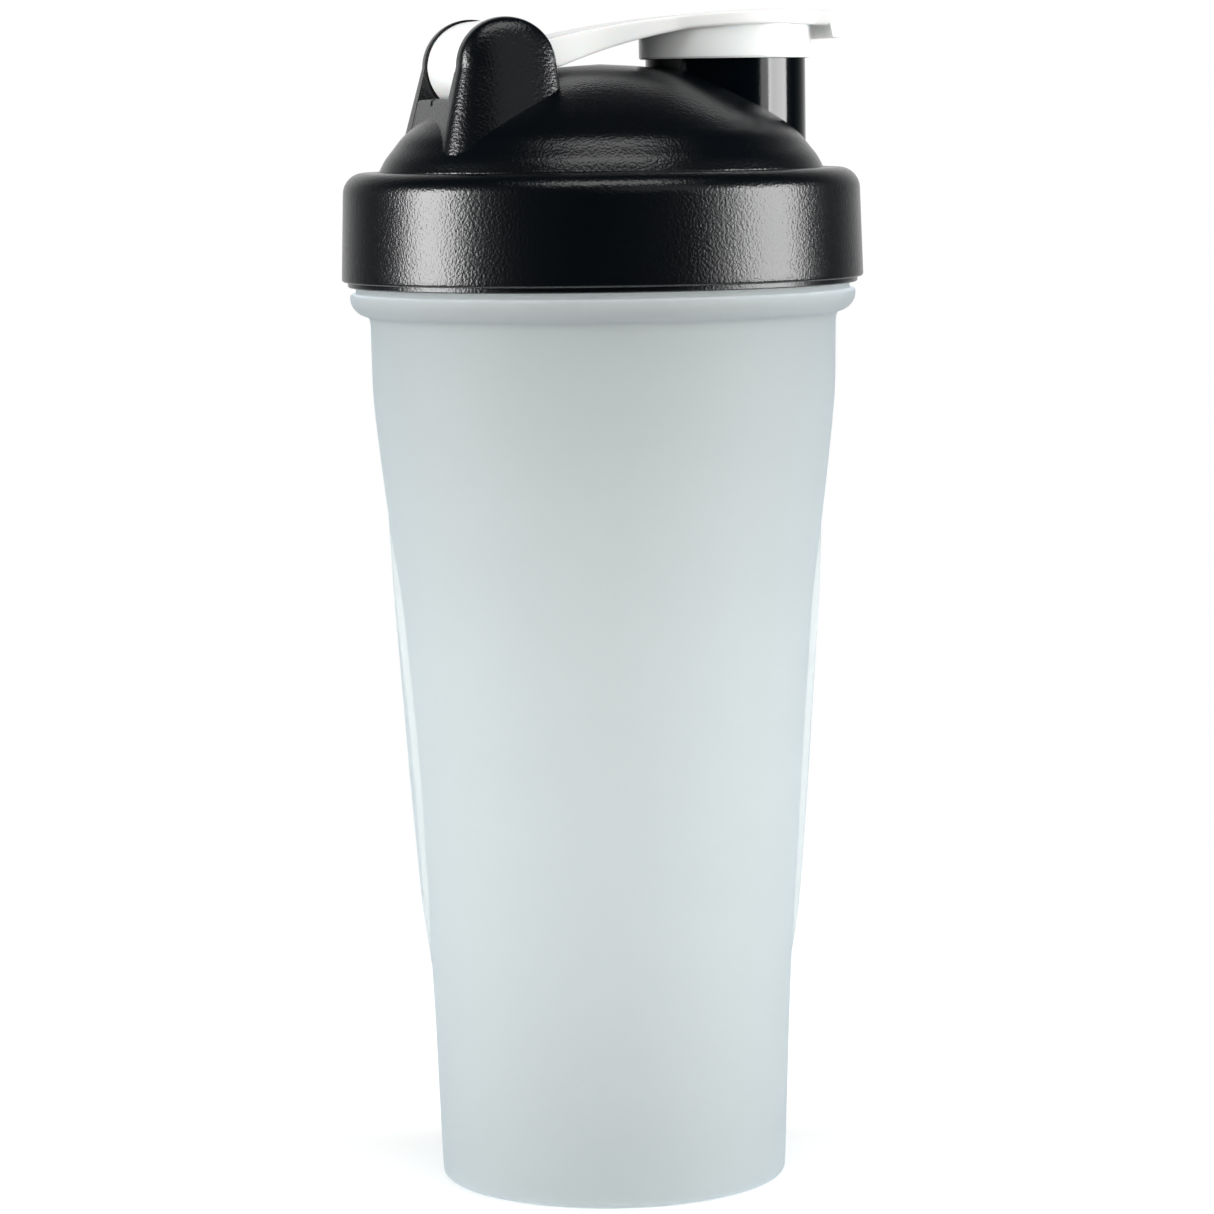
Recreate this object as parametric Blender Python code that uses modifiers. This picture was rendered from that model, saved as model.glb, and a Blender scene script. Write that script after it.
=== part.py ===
"""A protein shaker bottle: a tapered jar, a screw lid with a spout, a flip cap on a hinge and a whisk ball.

Frame: metres, +Z up, origin at the centre of the foot, on the jar's axis. The spout points to +X and the
hinge of the flip cap lies at -X. Lengths below are written in millimetres times MM.
"""

import math

import bmesh
import bpy
from mathutils import Vector

MM = 0.001
ROUND_STEPS = 48
SMALL_STEPS = 40

# Jar
FOOT_RADIUS = 33.0 * MM
FOOT_RECESS_RADIUS = 26.0 * MM
FOOT_RECESS = 1.6 * MM
FLOOR_TOP = 3.6 * MM
WALL = 1.6 * MM
RIM_TOP = 189.0 * MM
NECK_RADIUS = 44.0 * MM
NECK_INNER_RADIUS = 42.2 * MM
NECK_RING_RADIUS = 46.8 * MM
NECK_RING_TOP = 172.0 * MM
BEAD_RADIUS = 47.9 * MM
BEAD_TOP = 170.0 * MM
BEAD_HEIGHT = 4.0 * MM
BODY_OUTLINE = [(44.1, 162.4), (43.8, 150.0), (42.8, 140.0), (41.4, 128.1), (39.2, 110.9), (38.3, 96.2)]
BODY_OUTLINE += [(37.2, 78.8), (36.4, 66.4), (35.4, 54.2), (34.6, 41.1), (34.05, 29.4), (33.5, 14.0)]
PAD_OUTLINE = [(41.4, 128.1), (40.5, 110.9), (39.7, 99.3), (38.9, 87.7), (38.1, 76.1), (37.2, 64.5)]
PAD_OUTLINE += [(36.2, 52.8), (34.7, 41.1)]
PAD_HALF_WIDTH = 8.0 * MM
PAD_YAW = math.radians(-11.2)

# Two-start screw thread between the neck and the lid
THREAD_LEAD = 12.0 * MM
THREAD_STARTS = 2
THREAD_SWEEP = math.radians(200)
THREAD_RIDGE_RADIUS = 1.5 * MM
NECK_THREAD_RADIUS = 44.2 * MM
NECK_THREAD_START = 179.5 * MM
LID_THREAD_RADIUS = 46.1 * MM
LID_THREAD_START = NECK_THREAD_START - THREAD_LEAD / THREAD_STARTS / 2

# Lid
COLLAR_TOP = 192.8 * MM
COLLAR_TOP_RADIUS = 48.9 * MM
COLLAR_FOOT_RADIUS = 49.4 * MM
COLLAR_FOOT = 172.3 * MM
COLLAR_LIP = 171.3 * MM
COLLAR_ROUND = 4.0 * MM
LID_INNER_RADIUS = 46.5 * MM
LID_CEILING = 191.1 * MM
SEAL_LIP_FOOT = 187.5 * MM
SEAL_LIP_RADIUS = 41.5 * MM
DOME_OUTLINE = [(0.0, 212.6), (8.8, 212.0), (17.5, 210.6), (24.5, 207.9), (29.0, 205.5), (35.3, 201.2)]
DOME_OUTLINE += [(37.7, 199.1), (39.2, 197.2), (40.9, 195.0), (42.0, 192.9)]
DOME_WALL = 2.1 * MM

# Spout
SPOUT_X = 24.6 * MM
SPOUT_RADIUS = 15.2 * MM
SPOUT_BORE = 13.6 * MM
SPOUT_TOP = 216.5 * MM

# Hinge: the ears of the lid, the knuckle of the cap and its two pins
PIVOT_X = -21.8 * MM
PIVOT_Z = 212.4 * MM
EAR_ROUND = 9.1 * MM
EAR_INNER_Y = 13.8 * MM
EAR_ROOT_Y = 13.5 * MM
EAR_OUTER_Y = 21.0 * MM
EAR_FLARE = 0.33
EAR_BACK_SLOPE = 0.25
EAR_FRONT_SLOPE = 0.10
EAR_FOOT = 190.0 * MM
WALL_TOP = 206.5 * MM
WELL_RADIUS = 9.4 * MM
WELL_WALL = 1.8 * MM
KNUCKLE_RADIUS = 8.6 * MM
KNUCKLE_HALF_WIDTH = 13.4 * MM
PIN_RADIUS = 3.0 * MM
PIN_END_Y = 16.4 * MM
PIN_HOLE_RADIUS = 3.3 * MM
PIN_HOLE_END_Y = 16.9 * MM

# Flip cap
CAP_ARC_RADIUS = 194.0 * MM
CAP_CREST_X = 31.3 * MM
CAP_CREST_Z = 222.4 * MM
CAP_PLATE = 2.7 * MM
ARM_START_X = 14.0 * MM
ARM_TAPER = 0.07
ARM_SWELL = 2.2
ARM_UNDERSIDE = 212.05 * MM
ARM_WAIST = 1.2 * MM
CAP_DISC_RADIUS = 17.6 * MM
CAP_TIP_X = 45.5 * MM
TAB_HALF_WIDTH = 10.5 * MM
TAB_CORNER = 3.3 * MM
TAB_ROUND = 2.2 * MM
TAB_LIP = 3.0 * MM
TAB_LIP_EDGE = 0.8 * MM
TAB_FOOT = 217.0 * MM
SKIRT_RADIUS = 16.4 * MM
SKIRT_INNER_RADIUS = 15.6 * MM
SKIRT_FOOT = 213.4 * MM
PLUG_RADIUS = 13.1 * MM
PLUG_INNER_RADIUS = 11.8 * MM
PLUG_FOOT = 211.8 * MM

# Seal ring and whisk ball
SEAL_RADII = (42.0 * MM, 45.9 * MM)
SEAL_HEIGHTS = (189.3 * MM, 190.8 * MM)
BALL_RADIUS = 25.0 * MM
WIRE_RADIUS = 0.8 * MM
BALL_TURNS = 7
BALL_POLE_ANGLE = math.radians(14)
BALL_POINTS = 150
CLEARANCE = 0.3 * MM


def clear_scene():
    for old in list(bpy.data.objects):
        bpy.data.objects.remove(old)


def make_collection(name):
    collection = bpy.data.collections.new(name)
    bpy.context.scene.collection.children.link(collection)
    return collection


def material(name, colour, roughness, metallic=0.0, transmission=0.0):
    made = bpy.data.materials.new(name)
    made.use_nodes = True
    shader = made.node_tree.nodes["Principled BSDF"]
    shader.inputs["Base Color"].default_value = (*colour, 1.0)
    shader.inputs["Roughness"].default_value = roughness
    shader.inputs["Metallic"].default_value = metallic
    shader.inputs["Transmission Weight"].default_value = transmission
    return made


def add_mesh_object(name, mesh, collection):
    obj = bpy.data.objects.new(name, mesh)
    collection.objects.link(obj)
    return obj


def in_metres(outline):
    return [(a * MM, b * MM) for a, b in outline]


def arc(centre, radius, start_deg, end_deg, count):
    """Points on a circle arc in the (r, z) plane, from the first angle to the last."""
    points = []
    for i in range(count + 1):
        angle = math.radians(start_deg + (end_deg - start_deg) * i / count)
        points.append((centre[0] + radius * math.cos(angle), centre[1] + radius * math.sin(angle)))
    return points


def turned(name, profile, collection, closed=True, steps=ROUND_STEPS, centre=(0.0, 0.0)):
    """A profile of (radius, height) turned about the vertical axis through centre."""
    bm = bmesh.new()
    verts = [bm.verts.new((r, 0.0, z)) for r, z in profile]
    pairs = list(zip(verts, verts[1:]))
    if closed:
        pairs.append((verts[-1], verts[0]))
    for first, second in pairs:
        bm.edges.new((first, second))
    mesh = bpy.data.meshes.new(name)
    bm.to_mesh(mesh)
    bm.free()
    obj = add_mesh_object(name, mesh, collection)
    obj.location = (centre[0], centre[1], 0.0)
    screw = obj.modifiers.new("turn", "SCREW")
    screw.steps = steps
    screw.render_steps = steps
    screw.use_merge_vertices = True
    screw.merge_threshold = 0.00001
    screw.use_smooth_shade = True
    return obj


def curve_to_mesh(curve_object):
    """Replaces a curve object with a mesh object of the same name, its caps welded to its sides."""
    bpy.context.view_layer.update()
    graph = bpy.context.evaluated_depsgraph_get()
    mesh = bpy.data.meshes.new_from_object(curve_object.evaluated_get(graph))
    bm = bmesh.new()
    bm.from_mesh(mesh)
    bmesh.ops.remove_doubles(bm, verts=bm.verts, dist=0.000001)
    bmesh.ops.recalc_face_normals(bm, faces=bm.faces)
    bm.to_mesh(mesh)
    bm.free()
    name = curve_object.name
    collection = curve_object.users_collection[0]
    matrix = curve_object.matrix_world.copy()
    bpy.data.objects.remove(curve_object)
    obj = add_mesh_object(name, mesh, collection)
    obj.matrix_world = matrix
    return obj


def prism(name, outline, half_depth, collection, rotation=(0.0, 0.0, 0.0), location=(0.0, 0.0, 0.0)):
    """A flat outline with straight sides, extruded by half_depth to both sides of its own plane."""
    curve = bpy.data.curves.new(name, "CURVE")
    curve.dimensions = "2D"
    curve.fill_mode = "BOTH"
    curve.extrude = half_depth
    spline = curve.splines.new("POLY")
    spline.points.add(len(outline) - 1)
    for point, (a, b) in zip(spline.points, outline):
        point.co = (a, b, 0.0, 1.0)
    spline.use_cyclic_u = True
    obj = bpy.data.objects.new(name, curve)
    collection.objects.link(obj)
    obj.rotation_euler = rotation
    obj.location = location
    return curve_to_mesh(obj)


def wire(name, points, radius, collection, resolution=2):
    """A round wire through the points, with flat ends."""
    curve = bpy.data.curves.new(name, "CURVE")
    curve.dimensions = "3D"
    curve.bevel_depth = radius
    curve.bevel_resolution = resolution
    curve.use_fill_caps = True
    spline = curve.splines.new("POLY")
    spline.points.add(len(points) - 1)
    for point, place in zip(spline.points, points):
        point.co = (*place, 1.0)
    obj = bpy.data.objects.new(name, curve)
    collection.objects.link(obj)
    return curve_to_mesh(obj)


def cylinder_y(name, radius, half_width, collection, x=PIVOT_X, z=PIVOT_Z):
    """A round bar along Y, centred on the middle plane."""
    bpy.ops.mesh.primitive_cylinder_add(vertices=SMALL_STEPS, radius=radius, depth=2 * half_width)
    obj = bpy.context.object
    obj.name = name
    obj.location = (x, 0.0, z)
    obj.rotation_euler = (math.pi / 2, 0.0, 0.0)
    move_to(obj, collection)
    return obj


def box(name, low, high, collection):
    bpy.ops.mesh.primitive_cube_add(size=1.0)
    obj = bpy.context.object
    obj.name = name
    obj.location = [(a + b) / 2 for a, b in zip(low, high)]
    obj.scale = [b - a for a, b in zip(low, high)]
    move_to(obj, collection)
    return obj


def move_to(obj, collection):
    for old in list(obj.users_collection):
        old.objects.unlink(obj)
    collection.objects.link(obj)


def boolean(target, tool, operation, solver="EXACT"):
    modifier = target.modifiers.new(f"{operation.lower()}_{tool.name}", "BOOLEAN")
    modifier.operation = operation
    modifier.solver = solver
    modifier.object = tool
    tool.hide_render = True
    tool.display_type = "WIRE"
    return modifier


def smooth(obj, degrees=40):
    obj.data.shade_smooth()
    obj.data.set_sharp_from_angle(angle=math.radians(degrees))


def outline_radius(outline, height):
    """The radius of an outline at a height, between its two nearest points."""
    for (r1, z1), (r2, z2) in zip(outline, outline[1:]):
        if min(z1, z2) <= height <= max(z1, z2):
            return r1 + (r2 - r1) * (height - z1) / (z2 - z1)
    return outline[-1][0]


def thread_ridges(name, radius, start_height, collection):
    """One helical ridge for each start, as round bars half sunk in the wall that carries them."""
    ridges = []
    count = 22
    for start in range(THREAD_STARTS):
        first = 2 * math.pi * start / THREAD_STARTS
        points = []
        for i in range(count + 1):
            turn = THREAD_SWEEP * i / count
            height = start_height + THREAD_LEAD * turn / (2 * math.pi)
            points.append((radius * math.cos(first + turn), radius * math.sin(first + turn), height))
        ridges.append(wire(f"{name}_{start + 1}", points, THREAD_RIDGE_RADIUS, collection))
    return ridges


# Jar ---------------------------------------------------------------------------------------------------


def jar_profile():
    """Down from the rim on the outside, over the neck ring, the bead and the waisted body, to the foot."""
    body = in_metres(BODY_OUTLINE)
    inner = [(r - WALL, z) for r, z in reversed(body)]
    floor_corner = (inner[0][0] - 2.4 * MM, FLOOR_TOP)
    profile = [(0.0, FLOOR_TOP), floor_corner, (inner[0][0] - 0.3 * MM, FLOOR_TOP + 2.4 * MM)]
    profile += inner
    profile += [(NECK_INNER_RADIUS, RIM_TOP - 22 * MM), (NECK_INNER_RADIUS, RIM_TOP - 0.5 * MM)]
    profile += [(NECK_INNER_RADIUS + 0.5 * MM, RIM_TOP), (NECK_RADIUS - 0.5 * MM, RIM_TOP)]
    profile += [(NECK_RADIUS, RIM_TOP - 0.5 * MM), (NECK_RADIUS, NECK_RING_TOP)]
    profile += [(NECK_RING_RADIUS, NECK_RING_TOP), (NECK_RING_RADIUS, BEAD_TOP)]
    bead_centre = (body[0][0] + 0.2 * MM, BEAD_TOP - 0.6 * MM)
    profile += [(BEAD_RADIUS - 0.3 * MM, BEAD_TOP)]
    profile += arc(bead_centre, BEAD_RADIUS - bead_centre[0], 0, -90, 6)
    profile += body
    profile += [(FOOT_RADIUS, 1.5 * MM), (FOOT_RADIUS - 0.45 * MM, 0.45 * MM), (FOOT_RADIUS - 1.5 * MM, 0.0)]
    profile += [(FOOT_RECESS_RADIUS, 0.0), (FOOT_RECESS_RADIUS - 1.0 * MM, FOOT_RECESS), (0.0, FOOT_RECESS)]
    return profile


def leaf(length_low, length_high, half_width, count=10):
    """A pointed leaf: its half-width follows a sine along the length, fullest below the middle."""
    right = []
    for i in range(count + 1):
        along = i / count
        width = half_width * math.sin(math.pi * along**0.85)
        right.append((width, length_low + (length_high - length_low) * along))
    left = [(-a, b) for a, b in reversed(right[1:-1])]
    return right + left


def make_jar(parts, cutters):
    """The jar: a turned shell with two leaf-shaped grip pads on its sides and a screw thread on its neck."""
    jar = turned("jar", jar_profile(), parts, closed=False)
    pad = in_metres(PAD_OUTLINE)
    body = in_metres(BODY_OUTLINE)
    inner = [(outline_radius(body, z) - WALL / 2, z) for _, z in reversed(pad)]
    pads = turned("grip_pads", pad + inner, cutters)
    leaf_outline = leaf(pad[-1][1] + 0.2 * MM, pad[0][1] - 0.2 * MM, PAD_HALF_WIDTH)
    facing_side = (math.pi / 2, 0.0, math.pi / 2 + PAD_YAW)
    leaf_prism = prism("grip_pad_leaf", leaf_outline, 2 * BEAD_RADIUS, cutters, rotation=facing_side)
    boolean(pads, leaf_prism, "INTERSECT")
    boolean(jar, pads, "UNION")
    for ridge in thread_ridges("neck_thread", NECK_THREAD_RADIUS, NECK_THREAD_START, cutters):
        boolean(jar, ridge, "UNION")
    jar.data.materials.append(material("frosted_plastic", (0.72, 0.76, 0.76), 0.45, 0.0, 0.6))
    return jar


# Lid ---------------------------------------------------------------------------------------------------


def lid_outer_profile():
    """Down from the top of the dome, over the collar's rounded shoulder, to the thin lip at its foot."""
    shoulder = (COLLAR_TOP_RADIUS - COLLAR_ROUND, COLLAR_TOP - COLLAR_ROUND)
    profile = in_metres(DOME_OUTLINE)
    profile += [(DOME_OUTLINE[-1][0] * MM + 0.5 * MM, COLLAR_TOP)]
    profile += arc(shoulder, COLLAR_ROUND, 90, 0, 6)
    profile += [(COLLAR_FOOT_RADIUS, COLLAR_FOOT + 0.6 * MM), (COLLAR_FOOT_RADIUS - 0.4 * MM, COLLAR_FOOT)]
    profile += [(COLLAR_FOOT_RADIUS - 1.1 * MM, COLLAR_FOOT), (COLLAR_FOOT_RADIUS - 1.1 * MM, COLLAR_LIP)]
    profile += [(0.0, COLLAR_LIP)]
    return profile


def lid_inner_profile():
    """The hollow of the lid: dome, seal lip, ceiling over the rim and the wall that carries the thread."""
    dome = [(max(r * MM - DOME_WALL * r / 42.0, 0.0), z * MM - DOME_WALL) for r, z in DOME_OUTLINE[:-1]]
    profile = dome + [(SEAL_LIP_RADIUS - 1.6 * MM, SEAL_LIP_FOOT), (SEAL_LIP_RADIUS, SEAL_LIP_FOOT)]
    profile += [(SEAL_LIP_RADIUS, LID_CEILING), (LID_INNER_RADIUS, LID_CEILING)]
    mouth_radius, mouth_step = LID_INNER_RADIUS + 0.7 * MM, COLLAR_FOOT + 0.1 * MM
    profile += [(LID_INNER_RADIUS, mouth_step), (mouth_radius, mouth_step)]
    profile += [(mouth_radius, COLLAR_LIP - 1 * MM), (0.0, COLLAR_LIP - 1 * MM)]
    return profile


def ear_section(height):
    """The plan outline of an ear at a height, as (back x, front x, reach in y past the root)."""
    rise = height - PIVOT_Z
    if rise > 0:
        half = math.sqrt(max(EAR_ROUND**2 - rise**2, 0.0))
        back, front = PIVOT_X - half, PIVOT_X + half
    else:
        back = PIVOT_X - EAR_ROUND + EAR_BACK_SLOPE * rise
        front = PIVOT_X + EAR_ROUND - EAR_FRONT_SLOPE * rise
    reach = EAR_OUTER_Y - EAR_FLARE * rise - EAR_ROOT_Y
    crown = max(rise, 0.0) / EAR_ROUND
    return back, front, reach * (1 - crown**4) ** 0.25


def make_ears(collection):
    """Two flared lobes lofted from plan sections, blunt at the front corner and rounder at the back."""
    levels = [EAR_FOOT, 198 * MM, 206 * MM, PIVOT_Z]
    levels += [PIVOT_Z + EAR_ROUND * math.sin(math.radians(a)) for a in (20, 38, 53, 66, 76, 83)]
    across = 12
    rings = []
    bm = bmesh.new()
    for height in levels:
        back, front, reach = ear_section(height)
        middle, half = (back + front) / 2, (front - back) / 2
        ring = []
        for i in range(across + 1):
            t = -math.cos(math.pi * i / across)
            power = 3.2 if t < 0 else 5.5
            bulge = (1 - abs(t) ** power) ** (1 / power)
            ring.append(bm.verts.new((middle + half * t, EAR_ROOT_Y + reach * bulge, height)))
        rings.append(ring)
    for lower, upper in zip(rings, rings[1:]):
        for i in range(across + 1):
            j = (i + 1) % (across + 1)
            bm.faces.new((lower[i], upper[i], upper[j], lower[j]))
    bm.faces.new(rings[0])
    bm.faces.new(list(reversed(rings[-1])))
    bmesh.ops.recalc_face_normals(bm, faces=bm.faces)
    mesh = bpy.data.meshes.new("ears")
    bm.to_mesh(mesh)
    bm.free()
    ears = add_mesh_object("ears", mesh, collection)
    mirror = ears.modifiers.new("other_ear", "MIRROR")
    mirror.use_axis = (False, True, False)
    mirror.merge_threshold = 0.00001
    return ears


def back_wall(collection):
    """The low wall that joins the ears behind the knuckle, with its outer face in line with theirs."""
    outline = [(PIVOT_X, EAR_FOOT), (PIVOT_X, WALL_TOP)]
    for height in (WALL_TOP, EAR_FOOT):
        outline.append((ear_section(height)[0] + 0.05 * MM, height))
    return prism("back_wall", outline, EAR_INNER_Y + 0.4 * MM, collection, rotation=(math.pi / 2, 0, 0))


def make_lid(parts, cutters):
    """The lid, one moulding: collar, dome, spout, hinge ears, back wall and the inner thread."""
    lid = turned("lid", lid_outer_profile(), parts, closed=False)
    spout = turned(
        "spout",
        [(0.0, SPOUT_TOP), (SPOUT_RADIUS - 0.8 * MM, SPOUT_TOP), (SPOUT_RADIUS, SPOUT_TOP - 0.8 * MM)]
        + [(SPOUT_RADIUS, EAR_FOOT), (0.0, EAR_FOOT)],
        cutters,
        closed=False,
        steps=SMALL_STEPS,
        centre=(SPOUT_X, 0.0),
    )
    boolean(lid, spout, "UNION")
    boolean(lid, make_ears(cutters), "UNION")
    boolean(lid, back_wall(cutters), "UNION")

    hollow = turned("lid_hollow", lid_inner_profile(), cutters, closed=False)
    well_boss = cylinder_y("well_boss", WELL_RADIUS + WELL_WALL, EAR_INNER_Y + WELL_WALL, cutters)
    boolean(hollow, well_boss, "DIFFERENCE")
    bore_low, bore_high = LID_CEILING + 1 * MM, SPOUT_TOP + 5 * MM
    bore_profile = [(0.0, bore_high), (SPOUT_BORE, bore_high), (SPOUT_BORE, bore_low), (0.0, bore_low)]
    bore = turned("spout_bore", bore_profile, cutters, False, SMALL_STEPS, (SPOUT_X, 0.0))
    boolean(hollow, bore, "UNION")
    boolean(lid, hollow, "DIFFERENCE")

    room = cylinder_y("hinge_well", WELL_RADIUS, EAR_INNER_Y, cutters)
    boolean(room, cylinder_y("pin_hole", PIN_HOLE_RADIUS, PIN_HOLE_END_Y, cutters), "UNION")
    boolean(lid, room, "DIFFERENCE", "MANIFOLD")
    notch_low = (PIVOT_X - 2 * EAR_ROUND, -1.5 * MM, WALL_TOP - 1.2 * MM)
    notch_high = (PIVOT_X - EAR_ROUND / 2, 1.5 * MM, WALL_TOP + 1.0 * MM)
    boolean(lid, box("wall_notch", notch_low, notch_high, cutters), "DIFFERENCE", "MANIFOLD")

    for ridge in thread_ridges("lid_thread", LID_THREAD_RADIUS, LID_THREAD_START, cutters):
        boolean(lid, ridge, "UNION", "MANIFOLD")
    lid.data.materials.append(material("black_plastic", (0.012, 0.013, 0.015), 0.42))
    return lid


# Flip cap ----------------------------------------------------------------------------------------------


def cap_top(x):
    """Height of the cap's upper face: one long flat arc that crests near the tab."""
    return CAP_CREST_Z - (CAP_CREST_X - x) ** 2 / (2 * CAP_ARC_RADIUS)


def cap_underside(x):
    """Even plate over the spout, and an arm that grows thicker towards the knuckle and clears the dome."""
    past = max(ARM_START_X - x, 0.0)
    thickness = CAP_PLATE + ARM_TAPER * past + ARM_SWELL * past**2
    return max(cap_top(x) - thickness, ARM_UNDERSIDE)


def cap_side_outline():
    """Side view of arm, plate and thumb tab, from the knuckle to the tip and back underneath."""
    start = PIVOT_X + 6 * MM
    end = CAP_TIP_X - TAB_ROUND
    count = 16
    stations = [start + (end - start) * i / count for i in range(count + 1)]
    outline = [(x, cap_top(x)) for x in stations]
    outline += arc((end, cap_top(end) - TAB_ROUND), TAB_ROUND, 70, 0, 3)
    lip_back = CAP_TIP_X - TAB_LIP
    outline += [(CAP_TIP_X, TAB_FOOT + TAB_LIP_EDGE), (CAP_TIP_X - TAB_LIP_EDGE, TAB_FOOT)]
    outline += [(lip_back + TAB_LIP_EDGE, TAB_FOOT), (lip_back, TAB_FOOT + TAB_LIP_EDGE)]
    outline += [(lip_back - 0.2 * MM, cap_underside(lip_back))]
    outline += [(x, cap_underside(x)) for x in reversed(stations) if x < lip_back - 1 * MM]
    return outline


def cap_half_width(x):
    """Half the width in plan: knuckle width at the hinge, a round disc over the spout, then the thumb tab."""
    across = (x - SPOUT_X) / CAP_DISC_RADIUS
    disc = CAP_DISC_RADIUS * math.sqrt(max(1 - across**2, 0.0))
    if x > SPOUT_X:
        into_corner = max(x - (CAP_TIP_X - TAB_CORNER), 0.0)
        tab = TAB_HALF_WIDTH - TAB_CORNER + math.sqrt(max(TAB_CORNER**2 - into_corner**2, 0.0))
        return max(disc, tab)
    waist = KNUCKLE_HALF_WIDTH - ARM_WAIST * math.exp(-(((x + 2 * MM) / (9 * MM)) ** 2))
    return max(disc, waist)


def make_cap(parts, cutters):
    """The flip cap, one moulding: knuckle with two pins, curved arm, plate, thumb tab, skirt and plug."""
    upright = (math.pi / 2, 0.0, 0.0)
    cap = prism("flip_cap", cap_side_outline(), CAP_DISC_RADIUS + 1 * MM, parts, rotation=upright)

    length = CAP_TIP_X + 0.05 * MM - PIVOT_X
    stations = [PIVOT_X + length * math.sin(math.pi / 2 * i / 40) for i in range(41)]
    near = [(x, -cap_half_width(x)) for x in stations]
    far = [(x, cap_half_width(x)) for x in reversed(stations)]
    plan = prism("cap_plan", near + far, 30 * MM, cutters, location=(0.0, 0.0, CAP_CREST_Z))
    boolean(cap, plan, "INTERSECT")

    ring_top = CAP_CREST_Z + 4 * MM
    rings = turned(
        "cap_skirt",
        [(SKIRT_RADIUS, ring_top), (SKIRT_RADIUS, SKIRT_FOOT), (SKIRT_INNER_RADIUS, SKIRT_FOOT)]
        + [(SKIRT_INNER_RADIUS, ring_top)],
        cutters,
        steps=SMALL_STEPS,
        centre=(SPOUT_X, 0.0),
    )
    plug = turned(
        "cap_plug",
        [(PLUG_RADIUS, ring_top), (PLUG_RADIUS, PLUG_FOOT + 1 * MM), (PLUG_RADIUS - 0.6 * MM, PLUG_FOOT)]
        + [(PLUG_INNER_RADIUS, PLUG_FOOT), (PLUG_INNER_RADIUS, ring_top)],
        cutters,
        steps=SMALL_STEPS,
        centre=(SPOUT_X, 0.0),
    )
    span = [SPOUT_X + (i / 8 - 1) * 20 * MM for i in range(17)]
    above = [(x, cap_top(x) - CAP_PLATE / 2) for x in span]
    above += [(span[-1], CAP_CREST_Z + 10 * MM), (span[0], CAP_CREST_Z + 10 * MM)]
    over_plate = prism("over_plate", above, 22 * MM, cutters, rotation=upright)
    for ring in (rings, plug):
        boolean(ring, over_plate, "DIFFERENCE")
        boolean(cap, ring, "UNION")

    knuckle = cylinder_y("knuckle", KNUCKLE_RADIUS, KNUCKLE_HALF_WIDTH, cutters)
    pins = cylinder_y("hinge_pins", PIN_RADIUS, PIN_END_Y, cutters)
    boolean(cap, knuckle, "UNION")
    boolean(cap, pins, "UNION")
    cap.data.materials.append(material("white_plastic", (0.80, 0.81, 0.80), 0.30))
    return cap


# Seal ring and whisk ball ------------------------------------------------------------------------------


def make_seal(parts):
    """A flat rubber ring between the rim of the jar and the ceiling of the lid."""
    inner, outer = SEAL_RADII
    low, high = SEAL_HEIGHTS
    seal = turned("lid_seal", [(inner, high), (outer, high), (outer, low), (inner, low)], parts)
    seal.data.materials.append(material("grey_rubber", (0.55, 0.56, 0.56), 0.6))
    return seal


def make_whisk(parts):
    """One steel wire wound as a ball: a spiral from pole to pole with evenly spaced turns."""
    centre = Vector((0.0, 0.0, FLOOR_TOP + CLEARANCE + BALL_RADIUS + WIRE_RADIUS))
    points = []
    for i in range(BALL_POINTS + 1):
        share = i / BALL_POINTS
        polar = BALL_POLE_ANGLE + (math.pi - 2 * BALL_POLE_ANGLE) * share
        turn = 2 * math.pi * BALL_TURNS * share
        ring = BALL_RADIUS * math.sin(polar)
        place = Vector((ring * math.cos(turn), ring * math.sin(turn), BALL_RADIUS * math.cos(polar)))
        points.append(centre + place)
    whisk = wire("whisk_ball", points, WIRE_RADIUS, parts, resolution=1)
    whisk.data.materials.append(material("steel_wire", (0.62, 0.62, 0.63), 0.25, 1.0))
    return whisk


def main():
    clear_scene()
    parts = make_collection("protein_shaker")
    cutters = make_collection("cutters")
    smooth(make_jar(parts, cutters))
    smooth(make_lid(parts, cutters))
    smooth(make_cap(parts, cutters))
    smooth(make_seal(parts))
    smooth(make_whisk(parts))


main()
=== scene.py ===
# %% [markdown]
# # A protein shaker, one moulded piece at a time
#
# The bottle is five pieces: a frosted jar, a black screw lid, a white flip cap, a rubber seal ring and a
# loose ball of steel wire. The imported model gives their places, their bodies and their joints, but its
# faces are flat and coarse. Its meshes could be subdivided, which would soften every crisp line, so this
# script builds a new fine surface for each piece round that frame instead, and gives each one its finish.

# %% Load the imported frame
import math

import bpy
import numpy as np
from mathutils import Matrix, Vector


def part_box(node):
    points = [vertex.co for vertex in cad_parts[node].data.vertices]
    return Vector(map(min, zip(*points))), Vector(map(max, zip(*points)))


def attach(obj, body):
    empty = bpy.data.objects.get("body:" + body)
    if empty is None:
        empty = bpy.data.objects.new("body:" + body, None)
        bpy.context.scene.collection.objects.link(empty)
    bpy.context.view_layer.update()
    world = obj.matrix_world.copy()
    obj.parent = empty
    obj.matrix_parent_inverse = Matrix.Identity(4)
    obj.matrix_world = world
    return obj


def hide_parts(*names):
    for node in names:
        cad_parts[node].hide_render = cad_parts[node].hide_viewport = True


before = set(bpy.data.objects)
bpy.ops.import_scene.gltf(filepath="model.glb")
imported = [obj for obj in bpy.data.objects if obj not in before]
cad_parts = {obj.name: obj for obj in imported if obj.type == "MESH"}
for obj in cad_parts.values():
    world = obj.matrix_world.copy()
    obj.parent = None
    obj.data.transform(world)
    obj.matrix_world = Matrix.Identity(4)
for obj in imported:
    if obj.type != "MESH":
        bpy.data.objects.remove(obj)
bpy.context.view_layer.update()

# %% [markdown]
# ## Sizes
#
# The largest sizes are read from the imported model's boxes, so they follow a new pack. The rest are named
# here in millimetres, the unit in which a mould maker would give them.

MM = 0.001


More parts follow.
